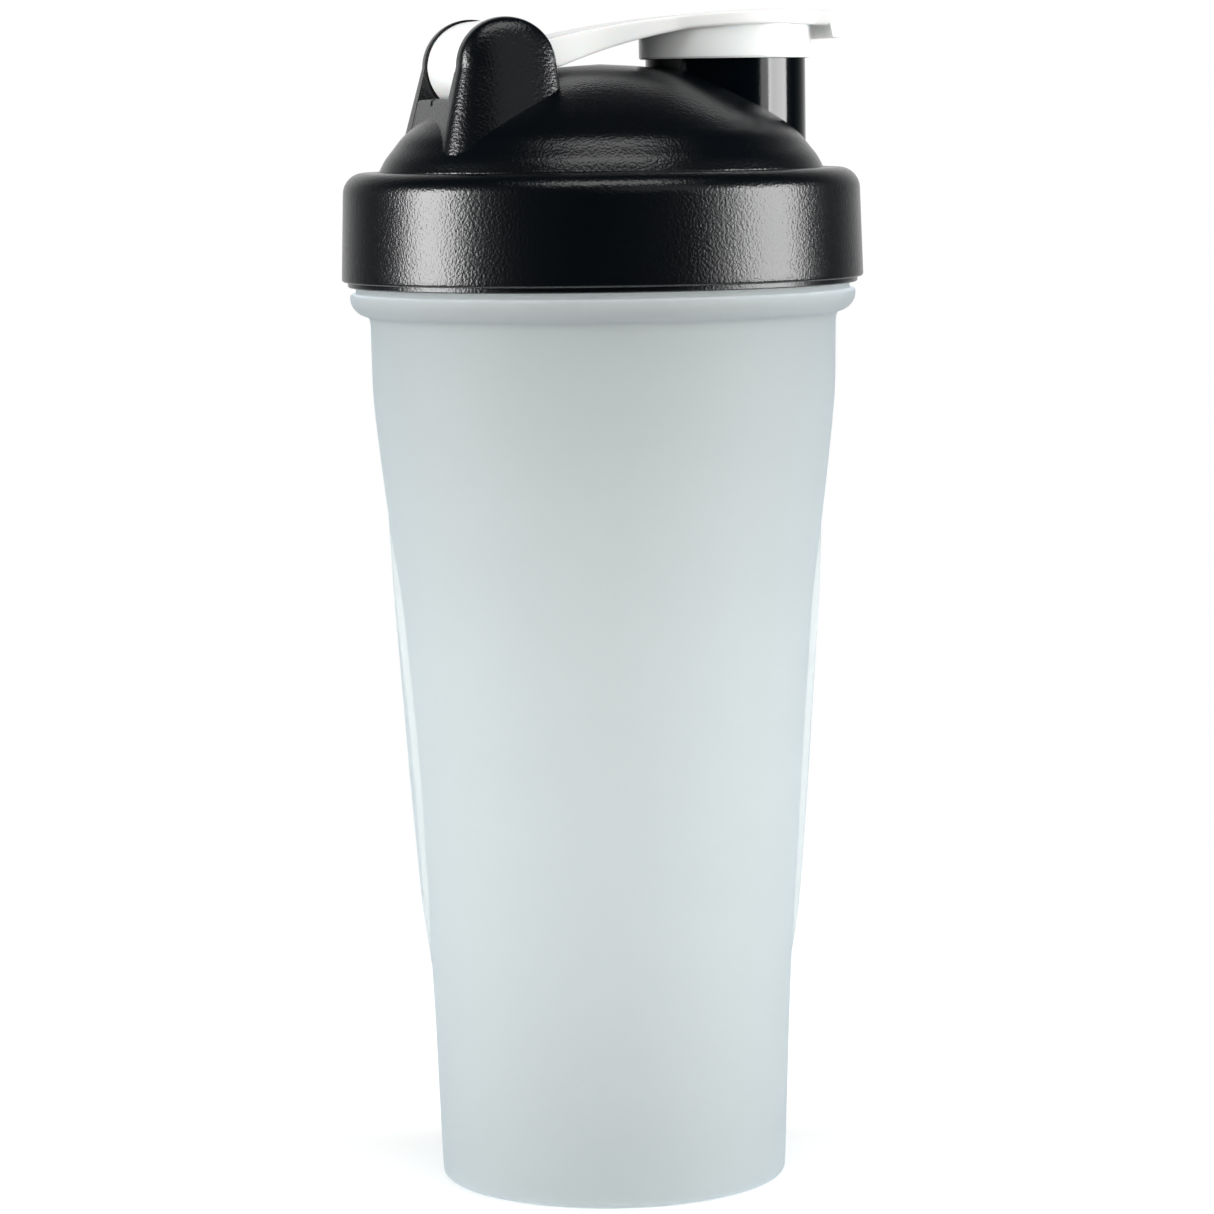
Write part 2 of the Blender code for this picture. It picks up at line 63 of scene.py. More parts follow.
def box_mm(node):
    """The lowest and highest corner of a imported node, in millimetres."""
    return np.array(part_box(node)) / MM


JAR_HIGH = box_mm("jar")[1]
LID_LOW, LID_HIGH = box_mm("lid")
CAP_HIGH = box_mm("flip_cap")[1]
SEAL_LOW, SEAL_HIGH = box_mm("lid_seal")
BALL_LOW, BALL_HIGH = box_mm("whisk_ball")

RIM_TOP = JAR_HIGH[2]
BEAD_RADIUS = JAR_HIGH[1]
COLLAR_RADIUS = LID_HIGH[1]
COLLAR_LIP = LID_LOW[2]
CAP_CREST_Z = CAP_HIGH[2]
CAP_TIP_X = CAP_HIGH[0]
PIVOT_X, PIVOT_Z = -21.8, 212.4
EAR_ROUND = LID_HIGH[2] - PIVOT_Z
print(f"the jar is {RIM_TOP:.1f} mm tall, and the lid {2 * COLLAR_RADIUS:.1f} mm across")
print(f"the cap's crest is {CAP_CREST_Z:.1f} mm up")

# %% [markdown]
# ## Curves and grids
#
# Every new surface here is a grid of points: a profile turned about an axis, or a section carried along a
# path. A Screw modifier or a Curve object could turn and sweep too, but an array of points can also
# bulge, lean and carry a thread. `fair` runs a smooth curve through named points, `arc` rounds a corner,
# and `grid_object` makes an array of points a closed mesh whose faces look outwards.

# %% Curve helpers


def fair(points, per_span=8):
    """A smooth curve through named points, as cubic spans.

    Each span is h00(t) start + h10(t) leave + h01(t) end + h11(t) arrive, with the Hermite weights h.
    """
    p = np.asarray(points, float)
    span = np.linalg.norm(np.diff(p, axis=0), axis=1)
    along = np.concatenate([[0.0], np.cumsum(span)])
    slope = np.gradient(p, along, axis=0)
    t = np.linspace(0, 1, per_span, endpoint=False)[None, :, None]
    start, end = p[:-1, None], p[1:, None]
    leave, arrive = slope[:-1, None] * span[:, None, None], slope[1:, None] * span[:, None, None]
    curve = (2 * t**3 - 3 * t**2 + 1) * start + (t**3 - 2 * t**2 + t) * leave
    curve = curve + (3 * t**2 - 2 * t**3) * end + (t**3 - t**2) * arrive
    return np.vstack([curve.reshape(-1, p.shape[1]), p[-1]])


def arc(centre, radius, start_deg, end_deg, count=8):
    """Points on a circle from one angle to another."""
    angle = np.radians(np.linspace(start_deg, end_deg, count + 1))
    return np.stack([centre[0] + radius * np.cos(angle), centre[1] + radius * np.sin(angle)], -1)


def line(start, end, count):
    """Evenly spaced points from start to end, without the end."""
    return np.linspace(start, end, count, endpoint=False)


def smooth_step(x):
    """0 below 0, 1 above 1, and a level start and finish between them."""
    t = np.clip(x, 0.0, 1.0)
    return t * t * (3 - 2 * t)


def soft_max(a, b, reach):
    """The larger of a and b, rounded where they lie less than reach apart."""
    near = np.clip(reach - np.abs(a - b), 0.0, None) / reach
    return np.maximum(a, b) + near**2 * reach / 4


print("a curve through 3 points has", len(fair([(0, 0), (1, 1), (2, 0)])), "points")

# %% From a grid of points to a mesh


def signed_volume(verts, faces):
    """Six times the volume inside the faces, negative where they look inwards."""
    a, b, c = (verts[faces[:, i]] for i in (0, 1, 2))
    return float((a * np.cross(b, c)).sum())


def grid_object(name, points_mm, ring=False):
    """A closed mesh from a (rows, columns, 3) array whose columns join round.

    The first and last rows close on a centre point each, or with ring=True on each other.
    """
    points = np.asarray(points_mm, float) * MM
    rows, columns = points.shape[:2]
    index = np.arange(rows * columns).reshape(rows, columns)
    lower, upper = (index, np.roll(index, -1, 0)) if ring else (index[:-1], index[1:])
    quads = np.stack([lower, np.roll(lower, -1, 1), np.roll(upper, -1, 1), upper], -1).reshape(-1, 4)
    verts = points.reshape(-1, 3)
    fans = np.empty((0, 3), int)
    if not ring:
        first, last = np.full(columns, len(verts)), np.full(columns, len(verts) + 1)
        start = np.stack([first, np.roll(index[0], -1), index[0]], -1)
        finish = np.stack([last, index[-1], np.roll(index[-1], -1)], -1)
        fans = np.vstack([start, finish])
        verts = np.vstack([verts, points[0].mean(0), points[-1].mean(0)])
    triangles = np.vstack([quads[:, :3], quads[:, [0, 2, 3]], fans])
    if signed_volume(verts, triangles) < 0:
        quads, fans = quads[:, ::-1], fans[:, ::-1]
    mesh = bpy.data.meshes.new(name)
    mesh.vertices.add(len(verts))
    mesh.vertices.foreach_set("co", verts.ravel())
    corners = np.concatenate([quads.ravel(), fans.ravel()])
    mesh.loops.add(len(corners))
    mesh.loops.foreach_set("vertex_index", corners)
    starts = np.concatenate([np.arange(len(quads)) * 4, len(quads) * 4 + np.arange(len(fans)) * 3])
    mesh.polygons.add(len(starts))
    mesh.polygons.foreach_set("loop_start", starts)
    mesh.update(calc_edges=True)
    mesh.validate()
    obj = bpy.data.objects.new(name, mesh)
    bpy.context.scene.collection.objects.link(obj)
    return obj


# %% Turned shapes and bars


def turned(name, profile, columns=256, centre=(0.0, 0.0), ring=False):
    """A profile of (radius, height) turned about the vertical line through centre."""
    profile = np.asarray(profile, float)
    angle = np.linspace(0, 2 * np.pi, columns, endpoint=False)
    r, z = profile[:, :1], profile[:, 1:]
    x = centre[0] + r * np.cos(angle)
    y = centre[1] + r * np.sin(angle)
    return grid_object(name, np.stack([x, y, z + 0 * angle], -1), ring)


def bar_y(name, radius, half_width, edge=0.3, columns=96):
    """A round bar along Y through the hinge pivot, with its two edges rounded."""
    across = np.array([-half_width, -half_width + 0.3 * edge, -half_width + edge])
    across = np.concatenate([across, -across[::-1]])
    radii = radius - edge * np.array([0.95, 0.3, 0.0, 0.0, 0.3, 0.95])
    angle = np.linspace(0, 2 * np.pi, columns, endpoint=False)
    x = PIVOT_X + radii[:, None] * np.cos(angle)
    z = PIVOT_Z + radii[:, None] * np.sin(angle)
    return grid_object(name, np.stack([x, across[:, None] + 0 * angle, z], -1))


# %% Joining, smoothing and measuring


def combine(target, tool, operation):
    """Joins tool to target, or cuts it away, and keeps the result as target's own mesh."""
    modifier = target.modifiers.new("combine", "BOOLEAN")
    modifier.operation = operation
    modifier.solver = "MANIFOLD"
    modifier.object = tool
    graph = bpy.context.evaluated_depsgraph_get()
    mesh = bpy.data.meshes.new_from_object(target.evaluated_get(graph))
    target.modifiers.clear()
    target.data = mesh
    bpy.data.objects.remove(tool)


def smooth(obj, degrees=35):
    """Smooth shading, with edges sharper than this angle left crisp."""
    obj.data.shade_smooth()
    obj.data.set_sharp_from_angle(angle=math.radians(degrees))


def report(obj):
    """Prints a piece's size and how many triangles it takes."""
    corners = np.array([v[:] for v in obj.bound_box]) / MM
    size = corners.max(0) - corners.min(0)
    triangles = sum(len(p.vertices) - 2 for p in obj.data.polygons)
    print(f"{obj.name}: {size[0]:.1f} x {size[1]:.1f} x {size[2]:.1f} mm, {triangles} triangles")


# %% [markdown]
# ## The camera and the stage
#
# A long lens from nearly a metre away keeps the sides of the bottle almost parallel. The bottle stands on
# a pale floor in a white room. A white room alone would wash out the black lid, because the lid mirrors
# whatever stands in front of it. So glossy surfaces see a dark room with a white wall straight behind the
# bottle, and large soft panels left and right draw the upright highlights on the lid. A dim panel beside
# the right one softens its edge. A panel overhead and a faint one in front pick out the dome and the
# ears.

# %% Camera

CAMERA_AZIMUTH = math.radians(14.2)
CAMERA_DISTANCE = 0.884
CAMERA_HEIGHT = 0.204
CAMERA_PITCH = math.radians(6.1)
CAMERA_ROLL = math.radians(0.77)
LENS = 137.9

TO_CAMERA = Vector((-math.sin(CAMERA_AZIMUTH), -math.cos(CAMERA_AZIMUTH), 0.0))
camera_data = bpy.data.cameras.new("camera")
camera_data.lens = LENS
camera_data.clip_start = 0.05
camera = bpy.data.objects.new("camera", camera_data)
bpy.context.scene.collection.objects.link(camera)
turn = Matrix.Rotation(-CAMERA_AZIMUTH, 4, "Z")
tilt = Matrix.Rotation(math.pi / 2 - CAMERA_PITCH, 4, "X")
roll = Matrix.Rotation(-CAMERA_ROLL, 4, "Z")
place = Matrix.Translation(TO_CAMERA * CAMERA_DISTANCE + Vector((0, 0, CAMERA_HEIGHT)))
camera.matrix_world = place @ turn @ tilt @ roll
bpy.context.scene.camera = camera
bpy.context.scene.view_settings.view_transform = "Standard"
print(f"a {LENS:.0f} mm lens, {CAMERA_DISTANCE:.2f} m from the bottle's axis")

# %% Room

ROOM_DARK = 0.002
AMBIENT = 0.68
WALL_FALL_OFF = 5.0


def math_node(tree, operation, first, second):
    """A Math node. Each operand is a socket or a number."""
    node = tree.nodes.new("ShaderNodeMath")
    node.operation = operation
    for slot_number, value in enumerate((first, second)):
        if isinstance(value, bpy.types.NodeSocket):
            tree.links.new(value, node.inputs[slot_number])
        else:
            node.inputs[slot_number].default_value = value
    return node.outputs["Value"]


def make_room():
    """White to the camera, pale grey to matt surfaces and dark to glossy ones.

    Both kinds of surface also see a white wall behind the bottle. It falls off as a power of the cosine of
    the angle from straight behind.
    """
    world = bpy.data.worlds.new("room")
    bpy.context.scene.world = world
    world.use_nodes = True
    tree = world.node_tree
    nodes, links = tree.nodes, tree.links
    nodes.clear()
    coords = nodes.new("ShaderNodeTexCoord")
    behind = nodes.new("ShaderNodeVectorMath")
    behind.operation = "DOT_PRODUCT"
    behind.inputs[1].default_value = -TO_CAMERA
    links.new(coords.outputs["Generated"], behind.inputs[0])
    wall = math_node(tree, "POWER", math_node(tree, "MAXIMUM", behind.outputs["Value"], 0.0), WALL_FALL_OFF)
    path = nodes.new("ShaderNodeLightPath").outputs
    matt = math_node(tree, "MULTIPLY", math_node(tree, "SUBTRACT", 1.0, path["Is Glossy Ray"]), AMBIENT)
    mirrored = math_node(tree, "ADD", math_node(tree, "MAXIMUM", wall, matt), ROOM_DARK)
    seen = math_node(tree, "MAXIMUM", path["Is Camera Ray"], mirrored)
    background = nodes.new("ShaderNodeBackground")
    background.inputs["Color"].default_value = (1.0, 1.0, 1.0, 1.0)
    links.new(seen, background.inputs["Strength"])
    output = nodes.new("ShaderNodeOutputWorld")
    links.new(background.outputs["Background"], output.inputs["Surface"])


make_room()
print(f"away from the wall, matt surfaces see {AMBIENT} of white and glossy ones {ROOM_DARK}")

# %% Panels

LIGHT_TARGET = Vector((0, 0, 0.12))

# Name, degrees round from the camera, degrees up, then distance, width and height in metres, and watts.
PANELS = [
    ("left_panel", -79, 8, 1.3, 0.62, 0.8, 23),
    ("right_panel", 80, 8, 1.3, 0.74, 0.8, 21),
    ("right_fade", 60, 8, 1.3, 0.4, 0.8, 3),
    ("top_panel", 5, 66, 1.4, 1.0, 0.5, 5),
    ("front_glow", 28, 32, 1.4, 1.0, 0.6, 0.8),
]


def aim(azimuth_deg, elevation_deg):
    """A direction by its angle round from the camera, positive to the camera's right, and its elevation."""
    a = CAMERA_AZIMUTH - math.radians(azimuth_deg)
    e = math.radians(elevation_deg)
    return Vector((-math.sin(a) * math.cos(e), -math.cos(a) * math.cos(e), math.sin(e)))


def panel(name, azimuth_deg, elevation_deg, distance, width, height, power):
    """A soft rectangular light that faces the bottle and that the camera doesn't see."""
    data = bpy.data.lights.new(name, "AREA")
    data.shape = "RECTANGLE"
    data.size = width
    data.size_y = height
    data.energy = power
    light = bpy.data.objects.new(name, data)
    direction = aim(azimuth_deg, elevation_deg)
    light.location = LIGHT_TARGET + direction * distance
    light.rotation_euler = direction.to_track_quat("Z", "Y").to_euler()
    light.visible_camera = False
    bpy.context.scene.collection.objects.link(light)


for settings in PANELS:
    panel(*settings)
print(len(PANELS), "soft panels")

# %% Floor

FLOOR_RADIUS = 0.45
FLOOR_TONE = 0.93
FADE_FROM, FADE_TO = 0.3 * FLOOR_RADIUS, 0.95 * FLOOR_RADIUS


def make_floor():
    """A pale disc just under the foot of the jar. It fades out before its edge, so no horizon shows."""
    bpy.ops.mesh.primitive_circle_add(vertices=96, radius=FLOOR_RADIUS, fill_type="NGON")
    floor = bpy.context.object
    floor.name = "floor"
    floor.location.z = -0.0001
    material = bpy.data.materials.new("pale_floor")
    material.use_nodes = True
    tree = material.node_tree
    shader = tree.nodes["Principled BSDF"]
    shader.inputs["Base Color"].default_value = (FLOOR_TONE, FLOOR_TONE, FLOOR_TONE, 1.0)
    shader.inputs["Roughness"].default_value = 0.9
    shader.inputs["Specular IOR Level"].default_value = 0.1
    place = tree.nodes.new("ShaderNodeTexCoord")
    length = tree.nodes.new("ShaderNodeVectorMath")
    length.operation = "LENGTH"
    tree.links.new(place.outputs["Object"], length.inputs[0])
    fade = tree.nodes.new("ShaderNodeMapRange")
    fade.interpolation_type = "SMOOTHSTEP"
    fade.inputs["From Min"].default_value = FADE_FROM
    fade.inputs["From Max"].default_value = FADE_TO
    tree.links.new(length.outputs["Value"], fade.inputs["Value"])
    clear = tree.nodes.new("ShaderNodeBsdfTransparent")
    mix = tree.nodes.new("ShaderNodeMixShader")
    tree.links.new(fade.outputs["Result"], mix.inputs["Fac"])
    tree.links.new(shader.outputs["BSDF"], mix.inputs[1])
    tree.links.new(clear.outputs["BSDF"], mix.inputs[2])
    tree.links.new(mix.outputs["Shader"], tree.nodes["Material Output"].inputs["Surface"])
    floor.data.materials.append(material)


make_floor()
print(f"the floor fades out {FADE_TO:.2f} m from the bottle")

# %% [markdown]
# ## Finishes
#
# All the pieces share one effect: the skin that a mould or a die leaves. On a real lid it is a fine
# pebbled grain. It could be modelled, but the pebbles are half a millimetre across, so they are left to
# bump. A node group, built once, mixes fine grain with slow unevenness, and gives a height for a Bump
# node and a roughness. Each material places it with its own grain size and depth. It reads Object
# coordinates, so nothing stretches.

# %% The moulded skin, a node group


def group_input(group, name, kind, value):
    """Adds a named input socket with a default."""
    socket = group.interface.new_socket(name, in_out="INPUT", socket_type=kind)
    socket.default_value = value


def make_skin_group():
    """Grain and slow waves on Object coordinates, as a height in metres and a roughness."""
    group = bpy.data.node_groups.new("moulded_skin", "ShaderNodeTree")
    group_input(group, "Grain Per Metre", "NodeSocketFloat", 1500.0)
    group_input(group, "Grain Depth", "NodeSocketFloat", 0.00002)
    group_input(group, "Wave Depth", "NodeSocketFloat", 0.00002)
    group_input(group, "Roughness", "NodeSocketFloat", 0.4)
    group_input(group, "Roughness Spread", "NodeSocketFloat", 0.05)
    group.interface.new_socket("Height", in_out="OUTPUT", socket_type="NodeSocketFloat")
    group.interface.new_socket("Roughness", in_out="OUTPUT", socket_type="NodeSocketFloat")
    given = group.nodes.new("NodeGroupInput").outputs
    result = group.nodes.new("NodeGroupOutput").inputs
    coords = group.nodes.new("ShaderNodeTexCoord").outputs["Object"]
    grain = group.nodes.new("ShaderNodeTexNoise")
    grain.inputs["Detail"].default_value = 1.0
    group.links.new(coords, grain.inputs["Vector"])
    group.links.new(given["Grain Per Metre"], grain.inputs["Scale"])
    wave = group.nodes.new("ShaderNodeTexNoise")
    wave.inputs["Scale"].default_value = 45.0
    wave.inputs["Detail"].default_value = 2.0
    group.links.new(coords, wave.inputs["Vector"])
    grain_height = math_node(group, "MULTIPLY", grain.outputs["Fac"], given["Grain Depth"])
    wave_height = math_node(group, "MULTIPLY", wave.outputs["Fac"], given["Wave Depth"])
    group.links.new(math_node(group, "ADD", grain_height, wave_height), result["Height"])
    centred = math_node(group, "SUBTRACT", wave.outputs["Fac"], 0.5)
    spread = math_node(group, "MULTIPLY", centred, given["Roughness Spread"])
    group.links.new(math_node(group, "ADD", given["Roughness"], spread), result["Roughness"])
    return group


SKIN = make_skin_group()
print("skin group sockets:", ", ".join(socket.name for socket in SKIN.interface.items_tree))

# %% A material and its skin


def new_material(name, colour, **values):
    """A material with a Principled shader. values name the shader's sockets, with _ for a space."""
    material = bpy.data.materials.new(name)
    material.use_nodes = True
    shader = material.node_tree.nodes["Principled BSDF"]
    shader.inputs["Base Color"].default_value = (*colour, 1.0)
    for socket, value in values.items():
        shader.inputs[socket.replace("_", " ")].default_value = value
    return material, shader


def add_skin(material, shader, grain, depth, wave, roughness, spread):
    """Places the moulded skin in a material, as bump and roughness."""
    tree = material.node_tree
    skin = tree.nodes.new("ShaderNodeGroup")
    skin.node_tree = SKIN
    for socket, value in zip(skin.inputs, (grain, depth, wave, roughness, spread)):
        socket.default_value = value
    bump = tree.nodes.new("ShaderNodeBump")
    bump.inputs["Distance"].default_value = 1.0
    tree.links.new(skin.outputs["Height"], bump.inputs["Height"])
    tree.links.new(bump.outputs["Normal"], shader.inputs["Normal"])
    tree.links.new(skin.outputs["Roughness"], shader.inputs["Roughness"])
    return bump.outputs["Normal"]


# %% [markdown]
# ## Frosted jar plastic
#
# Frosted polypropylene is milky all through. Light that falls on the jar's side goes through the wall,
# bounces about inside and comes out all round, so the jar looks evenly bright. Subsurface scattering
# would suit a solid body. For a wall under two millimetres thick, a Translucent shader mixed with a
# Principled one is simpler, and spreads the light evenly. Towards its outline the jar is seen through a
# slanting, longer stretch of plastic, so Layer Weight turns the light that comes through a little bluer
# and dimmer there.

# %% Frosted plastic

THROUGH_SHARE = 0.82
STRAIGHT_THROUGH = (0.872, 0.885, 0.872)
SLANTING_THROUGH = (0.74, 0.80, 0.85)


def frosted_plastic():
    """Most of the light goes on through the wall, bluer and dimmer where it slants through."""
    material, shader = new_material("frosted_plastic", (0.52, 0.54, 0.54), IOR=1.49)
    normal = add_skin(material, shader, 900.0, 0.000004, 0.00002, 0.55, 0.06)
    tree = material.node_tree
    through = tree.nodes.new("ShaderNodeBsdfTranslucent")
    slant = tree.nodes.new("ShaderNodeLayerWeight")
    slant.inputs["Blend"].default_value = 0.35
    tint = tree.nodes.new("ShaderNodeMix")
    tint.data_type = "RGBA"
    tint.inputs["A"].default_value = (*STRAIGHT_THROUGH, 1.0)
    tint.inputs["B"].default_value = (*SLANTING_THROUGH, 1.0)
    tree.links.new(slant.outputs["Facing"], tint.inputs["Factor"])
    tree.links.new(tint.outputs["Result"], through.inputs["Color"])
    tree.links.new(normal, through.inputs["Normal"])
    mix = tree.nodes.new("ShaderNodeMixShader")
    mix.inputs["Fac"].default_value = THROUGH_SHARE
    tree.links.new(shader.outputs["BSDF"], mix.inputs[1])
    tree.links.new(through.outputs["BSDF"], mix.inputs[2])
    tree.links.new(mix.outputs["Shader"], tree.nodes["Material Output"].inputs["Surface"])
    return material


FROSTED = frosted_plastic()
print(f"{FROSTED.name}: {THROUGH_SHARE:.0%} of the mix is translucent")

# %% [markdown]
# ## Black, white, rubber and steel
#
# The lid is one black plastic with two finishes: most of its mould was etched with a grain, and the
# spout's was polished. Two materials with the same colour show that more plainly than one with a mask.
# The cap is glossy white, the seal is dull rubber, and the ball is drawn steel wire. Each is a plain
# Principled shader, and the shared skin sets them apart by its grain and roughness.

# %% Black, white, rubber and steel

BLACK = (0.0006, 0.0014, 0.0024)


def grained_black():
    """Black plastic from a mould etched with a fine pebbled grain."""
    material, shader = new_material("grained_black", BLACK, IOR=1.5)
    add_skin(material, shader, 1900.0, 0.00007, 0.00001, 0.24, 0.06)
    return material


def polished_black():
    """The same black plastic where the mould was polished."""
    material, shader = new_material("polished_black", BLACK, IOR=1.5)
    add_skin(material, shader, 1500.0, 0.000004, 0.00002, 0.12, 0.05)
    return material


def white_plastic():
    """Glossy white plastic that lets a little light in under its skin."""
    material, shader = new_material("white_plastic", (0.69, 0.70, 0.69), IOR=1.5, Subsurface_Weight=0.15)
    shader.inputs["Subsurface Scale"].default_value = 0.002
    add_skin(material, shader, 1200.0, 0.000003, 0.00002, 0.24, 0.06)
    return material


def silicone():
    """Dull grey rubber for the seal ring."""
    material, shader = new_material("silicone", (0.52, 0.53, 0.53))
    add_skin(material, shader, 2500.0, 0.00001, 0.00001, 0.6, 0.1)
    return material


def drawn_steel():
    """Bright drawn wire. Its fine scratches show as uneven roughness."""
    material, shader = new_material("drawn_steel", (0.66, 0.66, 0.67), Metallic=1.0)
    add_skin(material, shader, 4000.0, 0.000003, 0.00001, 0.24, 0.2)
    return material


GRAINED, POLISHED = grained_black(), polished_black()
WHITE, SILICONE, STEEL = white_plastic(), silicone(), drawn_steel()
print("materials:", ", ".join(m.name for m in (GRAINED, POLISHED, WHITE, SILICONE, STEEL)))

# %% [markdown]
# ## The jar
#
# The real jar is one injection moulding of frosted plastic: a tapered, slightly waisted cup with a thick
# bead under its neck, a two-start thread, and a slim raised grip pad on each side. One grid covers the
# whole skin, from the middle of the floor, up inside, over the rim, down outside and under the foot. On
# the outside the radius also depends on the angle, which raises the thread and the pads. The pads could
# be made apart and joined on, but one grid keeps the soft ramp round them in the same skin. Around the
# pads the grid's columns follow the pads' own edges, so that their creases stay crisp.

# %% Jar dimensions

FOOT_RADIUS = 33.0
FOOT_CORNER = 1.5
FOOT_RING_INNER = 26.0
FOOT_RECESS = 1.6
FLOOR_TOP = 3.6
WALL = 1.6
NECK_RADIUS = 44.0
NECK_BORE = 42.2
NECK_RING_RADIUS = 46.8
NECK_RING_TOP = 172.0
BEAD_TOP = 170.0
BODY_OUTLINE = [(14, 33.5), (29.4, 34.05), (41.1, 34.6), (54.2, 35.4), (66.4, 36.4), (78.8, 37.2)]
BODY_OUTLINE += [(96.2, 38.3), (110.9, 39.2), (128.1, 41.4), (140.0, 42.8), (150.0, 43.8), (162.4, 44.1)]
PAD_OUTLINE = [(41.1, 34.7), (52.8, 36.2), (64.5, 37.2), (76.1, 38.1), (87.7, 38.9), (99.3, 39.7)]
PAD_OUTLINE += [(110.9, 40.5), (128.1, 41.4)]
PAD_LOW, PAD_HIGH = 41.3, 127.9
PAD_HALF_WIDTH = 8.0
PAD_YAW = math.radians(-11.2)
PAD_RAMP = 0.9
PAD_SECTOR = math.radians(42)
THREAD_LEAD = 12.0
THREAD_STARTS = 2
THREAD_SWEEP = math.radians(200)
THREAD_RIDGE = 1.5
THREAD_RUN_OUT = math.radians(10)
NECK_THREAD_RADIUS = 44.2
NECK_THREAD_START = 179.5


def along_height(outline, z):
    """The radius of an outline, listed as (height, radius), at each height, on a smooth curve."""
    curve = fair(outline, 12)
    return np.interp(z, curve[:, 0], curve[:, 1])


def pad_half_width(z):
    """A pointed leaf: the half-width follows a sine along the pad, fullest below its middle."""
    share = np.clip((z - PAD_LOW) / (PAD_HIGH - PAD_LOW), 0.0, 1.0)
    return PAD_HALF_WIDTH * np.sin(np.pi * share**0.85)


print(f"wall {WALL} mm, grip pads {PAD_HIGH - PAD_LOW:.1f} mm tall")

# %% Jar profile: rows of the grid, as radius and height


def jar_inner_rows():
    """Out over the floor and up the inner wall, to the bore of the neck."""
    floor_edge = BODY_OUTLINE[0][1] - WALL - 2.4
    floor = np.stack([np.linspace(0.4, floor_edge, 10), np.full(10, FLOOR_TOP)], -1)
    corner = arc((floor_edge, FLOOR_TOP + 2.2), 2.2, -80, -8, 6)
    z = np.linspace(FLOOR_TOP + 3.2, BODY_OUTLINE[-1][0], 70)
    wall = np.stack([along_height(BODY_OUTLINE, z) - WALL, z], -1)
    neck = fair([wall[-1], (NECK_BORE - 0.05, RIM_TOP - 24), (NECK_BORE, RIM_TOP - 21)], 3)[1:]
    bore = line((NECK_BORE, RIM_TOP - 18), (NECK_BORE, RIM_TOP - 0.6), 6)
    return np.vstack([floor, corner, wall, neck, bore])


def jar_outer_rows():
    """Round the rim, down the neck, over ring, bead and body, round the foot and under it."""
    rim = np.vstack([arc((NECK_BORE + 0.6, RIM_TOP - 0.6), 0.6, 180, 90, 5),
                     arc((NECK_RADIUS - 0.6, RIM_TOP - 0.6), 0.6, 90, 0, 5)])
    neck = line((NECK_RADIUS, RIM_TOP - 0.9), (NECK_RADIUS, NECK_RING_TOP + 0.5), 64)
    ring = np.vstack([arc((NECK_RADIUS + 0.5, NECK_RING_TOP + 0.5), 0.5, 180, 270, 4),
                      arc((NECK_RING_RADIUS - 0.4, NECK_RING_TOP - 0.4), 0.4, 90, 0, 4),
                      arc((NECK_RING_RADIUS + 0.25, BEAD_TOP + 0.25), 0.25, 180, 270, 3)])
    bead = np.vstack([arc((BEAD_RADIUS - 0.5, BEAD_TOP - 0.5), 0.5, 90, 0, 5),
                      arc((BEAD_RADIUS - 3.6, BEAD_TOP - 0.7), 3.6, -4, -84, 14)])
    z_bead = bead[-1, 1] - 0.5
    under = fair([bead[-1], (44.35, z_bead), (44.15, z_bead - 0.9), (44.1, 163.2)], 4)[1:]
    z = np.linspace(162.4, BODY_OUTLINE[0][0], 150)
    body = np.stack([along_height(BODY_OUTLINE, z), z], -1)
    skirt = line((33.45, 13.0), (FOOT_RADIUS + 0.05, FOOT_CORNER + 0.3), 8)
    foot = np.vstack([arc((FOOT_RADIUS - FOOT_CORNER, FOOT_CORNER), FOOT_CORNER, 0, -90, 8),
                      arc((FOOT_RING_INNER + 0.6, 0.6), 0.6, -90, -150, 4),
                      arc((FOOT_RING_INNER - 1.2, FOOT_RECESS - 0.6), 0.6, 30, 90, 4)])
    under_foot = np.stack([np.linspace(FOOT_RING_INNER - 3, 0.4, 12), np.full(12, FOOT_RECESS)], -1)
    return np.vstack([rim, neck, ring, bead, under, body, skirt, foot, under_foot])


print("the jar's grid has", len(jar_inner_rows()) + len(jar_outer_rows()), "rows")

# %% Jar surface: what the angle adds


def thread_height(angle, z, start_height):
    """How far the thread stands out: one rounded helical ridge for each start, sunk at both of its ends."""
    height = np.zeros(np.broadcast(angle, z).shape)
    for start in range(THREAD_STARTS):
        turned_by = np.mod(angle - 2 * np.pi * start / THREAD_STARTS, 2 * np.pi)
        middle = start_height + THREAD_LEAD * turned_by / (2 * np.pi)
        from_end = THREAD_SWEEP - turned_by
        ends = smooth_step(turned_by / THREAD_RUN_OUT) * smooth_step(from_end / THREAD_RUN_OUT)
        across = np.clip((z - middle) / THREAD_RIDGE, -1.0, 1.0)
        height = np.maximum(height, ends * (1 - across**2) ** 0.75)
    return height * (NECK_THREAD_RADIUS + THREAD_RIDGE - NECK_RADIUS)


def pad_columns(z, radius):
    """Angles of the grid's columns at each row: bunched on the pads' edges, even in between.

    Measured from a pad's middle, a column runs from 0 to the leaf's edge, over its ramp, and on to the end
    of the pad's sector. The share of columns in each stretch is fixed, so the columns bend with the leaf.
    """
    edge = np.maximum(pad_half_width(z), 0.8) / radius
    inside = np.linspace(0, 1, 9)[:, None] * (edge - 0.5 * PAD_RAMP / radius)
    ramp_start = inside[-1]
    ramp = ramp_start + np.linspace(0, 1, 7)[1:, None] * (PAD_RAMP / radius)
    beyond = ramp[-1] + np.linspace(0, 1, 17)[1:, None] * (PAD_SECTOR - ramp[-1])
    half = np.vstack([inside, ramp, beyond])
    sector = np.vstack([-half[:0:-1], half])
    between = np.linspace(PAD_SECTOR, np.pi - PAD_SECTOR, 42)[1:-1, None] + 0 * z
    whole = np.vstack([sector, between, sector + np.pi, between + np.pi])
    return whole.T + PAD_YAW


